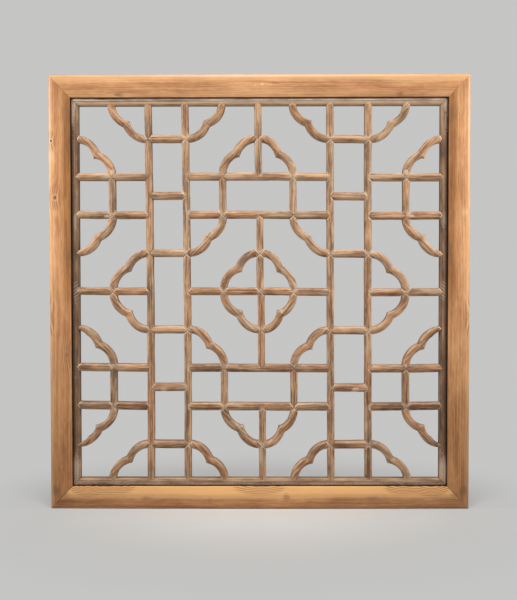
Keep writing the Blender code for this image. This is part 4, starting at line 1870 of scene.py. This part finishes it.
@dataclass(frozen=True)
class FrameWood:
    """The finish of the frame: waxed pine with a fine straight grain, rosy outside and golden inside.

    Attributes:
        late: The colour of the dark rings.
        middle: The common colour.
        early: The colour of the pale streaks.
        golden: What tints the stiles' inner part and all of the frame low down.
        faded: The paler edges: partly faded by the sun, partly a painted highlight.
        bright: The orange painted highlight on the brightest edges, which face the light.
        stain: Old brown patches; also painted as shade on the sides, the groove and the back.
        bare: Flecks where the wax is gone.
        dirt: What lies in the mitres and knots.
        levels: The shades that are late, middle and early wood.
        ring_step: The distance between two rings.
        flame_step: The same in the flames.
        drift: The slow drift that bends the rings.
        streaks, fibres, clouds: The three noises of its figure.
        patches, specks: The coarse mottling and the fine, which also breaks up the rims of the spots.
    """

    late: Colour = (0.385, 0.165, 0.064)
    middle: Colour = (0.590, 0.283, 0.122)
    early: Colour = (0.800, 0.430, 0.205)
    golden: Colour = (0.670, 0.580, 0.425)
    faded: Colour = (0.860, 0.510, 0.245)
    bright: Colour = (0.970, 0.550, 0.205)
    stain: Colour = (0.225, 0.115, 0.058)
    bare: Colour = (0.880, 0.600, 0.330)
    dirt: Colour = (0.085, 0.036, 0.016)
    levels: Triple = (0.375, 0.485, 0.605)
    ring_step: float = 0.0023
    flame_step: float = 0.0047
    drift: Pattern = Pattern((2.6, 30.0, 24.0), detail=2.0)
    streaks: Pattern = Pattern((4.0, 420.0, 260.0), detail=4.0, roughness=0.6)
    fibres: Pattern = Pattern((26.0, 1900.0, 1200.0))
    clouds: Pattern = Pattern((7.0, 34.0, 34.0), (2.0, 9.0, 4.0))
    patches: Pattern = Pattern((16.0, 44.0, 44.0), (6.0, 1.0, 9.0), 2.0)
    specks: Pattern = Pattern((60.0, 260.0, 200.0), (1.0, 7.0, 2.0))

    @staticmethod
    def waves(place: Value, step: float) -> Value:
        """Waves from 0 to 1, a step apart."""
        return (place * (2 * math.pi / step)).sine() * 0.5 + 0.5

    def sunned(self, sheet: Sheet, colour: Value, tone: Value, cloud: Value) -> Value:
        """Tints the clean wood: golden where its tone says so and low down, and paler and brighter at the edges,
        which is partly sun-fading and partly painted highlight.

        Args:
            sheet: The node tree.
            colour: The clean wood's colour.
            tone: The tone, as Frame.build gives it.
            cloud: The slow clouds, which break the tints up.

        Returns:
            The tinted colour.
        """
        x, _, high = sheet.split(sheet.place())
        low = high.falling(-0.85, -0.40) * (0.50 + 0.28 * x.magnitude().rising(0.395, 0.405))
        gold = (tone * (0.75 + 0.5 * cloud)).rising(0.1, 0.9).larger(low)
        # Painted highlight, partly sun-fading: paler edges, and the brightest, orange, on the edges that face the
        # light.
        faded = (tone * (0.6 + 0.8 * cloud)).falling(-0.95, -0.1)
        bright = (tone * (0.8 + 0.4 * cloud)).falling(-2.0, -1.0)
        return sheet.painted(
            colour, (gold, self.golden, "MULTIPLY"), (faded * 0.55, self.faded), (bright * 0.7, self.bright)
        )

    def material(self) -> bpy.types.Material:
        """Builds the material: rings are thin dark lines a fixed step apart, pushed aside by the flow.

        Returns:
            The material.
        """
        sheet = Sheet("frame_wood")
        near, openness, inset = sheet.split(sheet.attribute("joint", "Vector"))
        edge = sheet.attribute("edge")
        flow = sheet.attribute("flow")
        along, across, depth = sheet.split(sheet.attribute("grain", "Vector"))
        aside = across + flow * MM
        grain = sheet.joined(along, aside, depth)
        drift = sheet.noise(grain, self.drift)
        bent = sheet.joined(along, aside + drift * 0.012, depth)
        streak = sheet.noise(bent, self.streaks)
        fibre = sheet.noise(bent, self.fibres)
        speck = sheet.noise(bent, self.specks)
        cloud = sheet.noise(grain, self.clouds)
        patch = sheet.noise(grain, self.patches)
        ringed = self.waves(aside + 0.024 * drift, self.ring_step) ** 4.0
        ringed = ringed * (0.4 + 0.6 * cloud.rising(0.4, 0.6)) * 0.12
        flame = self.waves(aside + 0.010 * drift, self.flame_step) ** 1.5
        flame = flame * flow.rising(0.5, 2.2) * (0.6 + cloud)
        shade = 0.40 * streak + 0.28 * fibre + 0.32 * cloud - 0.18 * ringed
        shade = shade + 0.18 * (patch - 0.5) + 0.17 * (speck - 0.5)
        colour = sheet.ramp(shade, tuple(zip(self.levels, (self.late, self.middle, self.early))))
        colour = self.sunned(sheet, colour, sheet.attribute("tone"), cloud)
        rag = speck - 0.5
        stained = sheet.spots(FRAME_SPOTS, STAIN, 1.6 * rag, (0.1, 1.1)) * (0.35 + 1.1 * speck)
        pale = sheet.spots(FRAME_SPOTS, PALE, 2.2 * rag, (0.4, 1.0))
        halo = sheet.spots(FRAME_SPOTS, KNOT, 0.4 * rag, (1.0, 1.7))
        core = sheet.spots(FRAME_SPOTS, KNOT, 0.9 * rag, (0.35, 0.95))
        hole = sheet.spots(FRAME_SPOTS, HOLE, 0.0)
        seam = near.falling(0.3, 1.0) * (0.15 + 0.75 * openness) * inset.rising(4.0, 24.0)
        colour = sheet.painted(
            colour,
            (flame * 0.85, self.late),
            (stained, self.stain),
            (pale * 0.8, self.bare),
            ((halo - core) * 0.45, self.bare),
            (core.larger(hole), self.dirt),
            # Painted shade on the sides, the groove and the back.
            (edge.rising(1.2, 1.9) * 0.35, self.stain),
            (seam, self.dirt),
        )
        roughness = 0.36 + 0.22 * fibre + 0.2 * stained
        height = 0.5 * streak + 0.3 * fibre - 0.3 * ringed
        return sheet.finish(colour, roughness, height, 0.3 * MM)


@dataclass(frozen=True)
class BorderWood:
    """The finish of the border: old brown wood inside its groove, bleached grey on its outer strip.

    Attributes:
        dark: The colour of the dark streaks, also painted as shade on the side bars' outer strip, down the sides
            and
        at the back.
        middle: The common colour.
        light: The colour of the pale streaks.
        grey: The weathered grey.
        whitish: The palest of the weathering.
        dirt: The darkest colour: the joints, the dark specks, the line along the groove, and the painted shadow
            of
        the frame along the outer edge.
        levels: The shades that are dark, middle and light.
        stroke_step: The height from one tool mark to the next.
        stroke_slope: How steeply the marks rise outwards.
        streaks, fibres, clouds: The three noises of its figure.
        specks: The specks of the weathering.
    """

    dark: Colour = (0.085, 0.043, 0.024)
    middle: Colour = (0.268, 0.143, 0.070)
    light: Colour = (0.540, 0.345, 0.200)
    grey: Colour = (0.190, 0.124, 0.080)
    whitish: Colour = (0.540, 0.445, 0.370)
    dirt: Colour = (0.036, 0.021, 0.013)
    levels: Triple = (0.37, 0.50, 0.63)
    stroke_step: float = 0.0075
    stroke_slope: float = 0.8
    streaks: Pattern = Pattern((9.0, 520.0, 400.0), detail=4.0, roughness=0.6)
    fibres: Pattern = Pattern((45.0, 2300.0, 1500.0))
    clouds: Pattern = Pattern((24.0, 70.0, 70.0), (1.0, 5.0, 8.0))
    specks: Pattern = Pattern((260.0, 620.0, 620.0), (4.0, 2.0, 3.0), 2.0)

    def marked(self, sheet: Sheet, speck: Value, cloud: Value) -> Value:
        """Where the spots and the slanting tool marks have left the border pale.

        Args:
            sheet: The node tree.
            speck: The specks, which break up the rims.
            cloud: The slow clouds, which make the pale spots uneven.

        Returns:
            The share of the whitish colour.
        """
        rag = speck - 0.5
        worn = sheet.spots(BORDER_SPOTS, WORN, 3.0 * rag) * 0.6
        pale = sheet.spots(BORDER_SPOTS, PALE, 3.2 * rag) * (0.5 + 0.5 * cloud)
        x, _, z = sheet.split(sheet.place())
        strokes = (x.magnitude() * self.stroke_slope + z) * (2 * math.pi / self.stroke_step)
        hatch = sheet.spots(BORDER_SPOTS, HATCH, 0.6 * rag) * strokes.sine().rising(0.1, 0.8) * 0.7
        return worn.larger(pale).larger(hatch)

    def material(self) -> bpy.types.Material:
        """Builds the material from the piece's attributes, and its spots from the place on the screen.

        Returns:
            The material.
        """
        sheet = Sheet("border_wood")
        grain = sheet.attribute("grain", "Vector")
        near, number, inset = sheet.split(sheet.attribute("joint", "Vector"))
        edge = sheet.attribute("edge")
        tone = sheet.attribute("tone")
        streak = sheet.noise(grain, self.streaks)
        fibre = sheet.noise(grain, self.fibres)
        cloud = sheet.noise(grain, self.clouds)
        speck = sheet.noise(grain, self.specks)
        shade = 0.46 * streak + 0.20 * fibre + 0.34 * cloud
        # Painted light and shade: the inner strip is lighter where the tone is high, most on the top bar, and
        # stays darker on the side bars.
        light = shade + (0.185 * tone - 0.018) * inset.rising(5.0, 8.0) - 0.045
        colour = sheet.ramp(light, tuple(zip(self.levels, (self.dark, self.middle, self.light))))
        outside = inset.falling(5.8, 7.4)
        unbleached_and_shaded = tone.falling(0.1, 0.7)
        white = (tone.rising(0.1, 0.6) * 0.20 + 0.12 + 2.0 * (shade - 0.5)).rising(0.12, 0.44)
        weathered = sheet.mixed(white, self.grey, self.whitish)
        speckled = outside * (0.30 + 0.70 * tone.rising(0.05, 0.40)) * tone.falling(0.5, 0.8)
        groove = inset.rising(5.4, 6.5) * inset.falling(6.8, 8.0) * (0.12 + 0.60 * tone.rising(0.90, 1.0))
        seam = near.falling(0.4, 1.2) * (0.2 + 0.7 * number)
        # Painted shadow of the frame: dark along the outer edge and the tongue, and in bands across the side
        # bars' outer strip.
        frame_shadow = inset.falling(-0.5, 0.6) * (1.10 - 0.7 * tone)
        second = inset.rising(2.7, 3.6) * inset.falling(4.3, 5.6)
        lines = (inset.falling(0.9, 1.9) * 0.9).larger(second * 0.75).larger(inset.falling(3.4, 4.4) * 0.40)
        frame_shadow = frame_shadow.larger(lines * tone.falling(0.1, 0.6))
        colour = sheet.painted(
            colour,
            (outside * (0.12 + 0.8 * tone.rising(0.0, 0.8)), weathered),
            # Painted shade of the frame, with less bleaching, darkens the side bars' outer strip.
            (outside * unbleached_and_shaded * 0.45, self.dark),
            (speckled * speck.rising(0.53, 0.66) * 0.75, self.whitish),
            (speckled * speck.falling(0.36, 0.46) * 0.80, self.dirt),
            (self.marked(sheet, speck, cloud), self.whitish),
            # Painted shade down the sides, on the tongue and at the back.
            (edge.rising(1.02, 1.7) * 0.75, self.dark),
            # The dark joints and groove line, and the painted shadow of the frame along the outer edge.
            (groove.larger(seam).larger(frame_shadow), self.dirt),
        )
        roughness = 0.56 + 0.22 * fibre
        height = 0.6 * streak + 0.4 * fibre
        return sheet.finish(colour, roughness, height, 0.8 * MM)


@dataclass(frozen=True)
class SoftLight:
    """A square soft light.

    Attributes:
        name: Its name.
        place: Where it hangs.
        target: What it points at.
        size: Its side.
        power: Its power in watts.
        spread: How wide it shines, in degrees.
        colour: Its colour.
    """

    name: str
    place: Triple
    target: Triple
    size: float
    power: float
    spread: float = 180.0
    colour: Colour = (1.0, 0.97, 0.93)

    def hang(self) -> None:
        """Adds it to the scene."""
        data = bpy.data.lights.new(self.name, "AREA")
        data.shape = "SQUARE"
        data.size = self.size
        data.energy = self.power
        data.color = self.colour
        data.spread = math.radians(self.spread)
        light = bpy.data.objects.new(self.name, data)
        back = np.array(self.place) - np.array(self.target)
        back /= np.linalg.norm(back)
        right = np.cross((0.0, 0.0, 1.0), back)
        right /= np.linalg.norm(right)
        axes = np.stack([right, np.cross(back, right), back], axis=1)
        light.matrix_world = Matrix.Translation(self.place) @ Matrix(axes.tolist()).to_4x4()
        bpy.context.scene.collection.objects.link(light)


@dataclass(frozen=True)
class Studio:
    """The plain floor, the light and the camera.

    Attributes:
        floor: The floor's colour.
        backdrop: The colour behind everything.
        floor_reach: The floor's half width.
        floor_fade: How far from its middle the floor starts and ends to turn into the backdrop.
        world_share: The share of the backdrop's light that falls on the screen.
        camera_place: Where the camera stands.
        camera_turn: Its turn, tilt and roll in degrees.
        camera_lens: Its focal length in mm, on a 36 mm sensor.
        lights: The soft lights: one on each side, one above and one behind.
    """

    floor: Colour = (0.560, 0.555, 0.546)
    backdrop: Colour = (0.560, 0.560, 0.555)
    floor_reach: float = 14.0
    floor_fade: Point = (0.05, 0.75)
    world_share: float = 0.09
    camera_place: Triple = (0.0205, -2.5, -0.3699)
    camera_turn: Triple = (0.518, 2.012, 0.068)
    camera_lens: float = 69.23
    lights: tuple[SoftLight, ...] = (
        SoftLight("light_left", (-1.25, -0.38, 0.12), (-0.30, 0.0, -0.34), 0.35, 2.00, 72.0),
        SoftLight("light_right", (1.25, -0.38, 0.12), (0.30, 0.0, -0.34), 0.35, 2.00, 72.0),
        SoftLight("light_above", (0.0, -0.85, 1.30), (0.0, 0.0, -1.20), 0.5, 6.4, 74.0),
        SoftLight("light_behind", (0.3, 2.2, 1.0), (0.0, 0.0, -0.45), 1.4, 14.0),
    )

    def build_floor(self, height: float) -> None:
        """Lays the pale floor, which fades into the backdrop further out.

        Args:
            height: The z that it lies at.
        """
        reach = self.floor_reach
        mesh = bpy.data.meshes.new("studio_floor")
        corners = [(-reach, -reach), (reach, -reach), (reach, reach), (-reach, reach)]
        mesh.from_pydata([(x, y, height) for x, y in corners], [], [(0, 1, 2, 3)])
        floor = bpy.data.objects.new("studio_floor", mesh)
        bpy.context.scene.collection.objects.link(floor)
        sheet = Sheet("studio_floor")
        fade = sheet.length(sheet.stretched(sheet.place(), (1.0, 1.0, 0.0))).rising(*self.floor_fade)
        sheet.feed(sheet.shader.inputs["Base Color"], (*self.floor, 1.0))
        sheet.feed(sheet.shader.inputs["Roughness"], 0.9)
        sheet.feed(sheet.shader.inputs["Specular IOR Level"], 0.1)
        glow = sheet.add("ShaderNodeEmission", {}, {"Color": (*self.backdrop, 1.0), "Strength": 1.0})
        plain = Value(sheet, sheet.shader.outputs[0])
        mix = sheet.add("ShaderNodeMixShader", {}, {0: fade, 1: plain, 2: glow})
        sheet.feed(sheet.tree.nodes["Material Output"].inputs["Surface"], mix)
        mesh.materials.append(sheet.material)

    def build_world(self) -> None:
        """Makes the backdrop plain, and gives a weaker even light from all round."""
        world = bpy.data.worlds.new("studio")
        world.use_nodes = True
        bpy.context.scene.world = world
        tree = world.node_tree
        background = tree.nodes["Background"]
        background.inputs["Color"].default_value = (*self.backdrop, 1.0)
        path = tree.nodes.new("ShaderNodeLightPath")
        share = tree.nodes.new("ShaderNodeMapRange")
        share.inputs["To Min"].default_value = self.world_share
        share.inputs["To Max"].default_value = 1.0
        tree.links.new(path.outputs["Is Camera Ray"], share.inputs["Value"])
        tree.links.new(share.outputs["Result"], background.inputs["Strength"])

    def build_camera(self) -> None:
        """Sets the camera up at the photograph's distance, turn, tilt and roll, and makes it the scene's."""
        yaw, pitch, roll = (math.radians(degrees) for degrees in self.camera_turn)
        level = np.array([math.cos(yaw), math.sin(yaw), 0.0])
        forward = np.array([-math.sin(yaw), math.cos(yaw), 0.0]) * math.cos(pitch)
        forward[2] = -math.sin(pitch)
        upward = np.cross(level, forward)
        right = math.cos(roll) * level - math.sin(roll) * upward
        over = math.sin(roll) * level + math.cos(roll) * upward
        axes = np.stack([right, over, -forward], axis=1)
        data = bpy.data.cameras.new("camera")
        data.sensor_fit = "AUTO"
        data.sensor_width = 36.0
        data.lens = self.camera_lens
        camera = bpy.data.objects.new("camera", data)
        camera.matrix_world = Matrix.Translation(self.camera_place) @ Matrix(axes.tolist()).to_4x4()
        bpy.context.scene.collection.objects.link(camera)
        bpy.context.scene.camera = camera

    def build(self, floor_height: float) -> None:
        """Builds the whole studio.

        Args:
            floor_height: The z of the floor.
        """
        self.build_camera()
        for light in self.lights:
            light.hang()
        self.build_world()
        self.build_floor(floor_height)
        bpy.context.scene.view_settings.view_transform = "Standard"


def report(pieces: Iterable[bpy.types.Object]) -> None:
    """Logs each piece with its number of triangles."""
    for piece in pieces:
        piece.data.calc_loop_triangles()
        LOG.info("%s: %d triangles", piece.name, len(piece.data.loop_triangles))


def main() -> None:
    """Builds the studio, the frame, the border and the lattice, in that order."""
    logging.basicConfig(level=logging.INFO, format="%(message)s")
    Studio().build(LAYOUT.bottom)
    report(Frame(FrameWood().material()).build())
    report(Border(BorderWood().material()).build())
    report(Lattice(StickWood().material()).build())


if __name__ == "__main__":
    main()
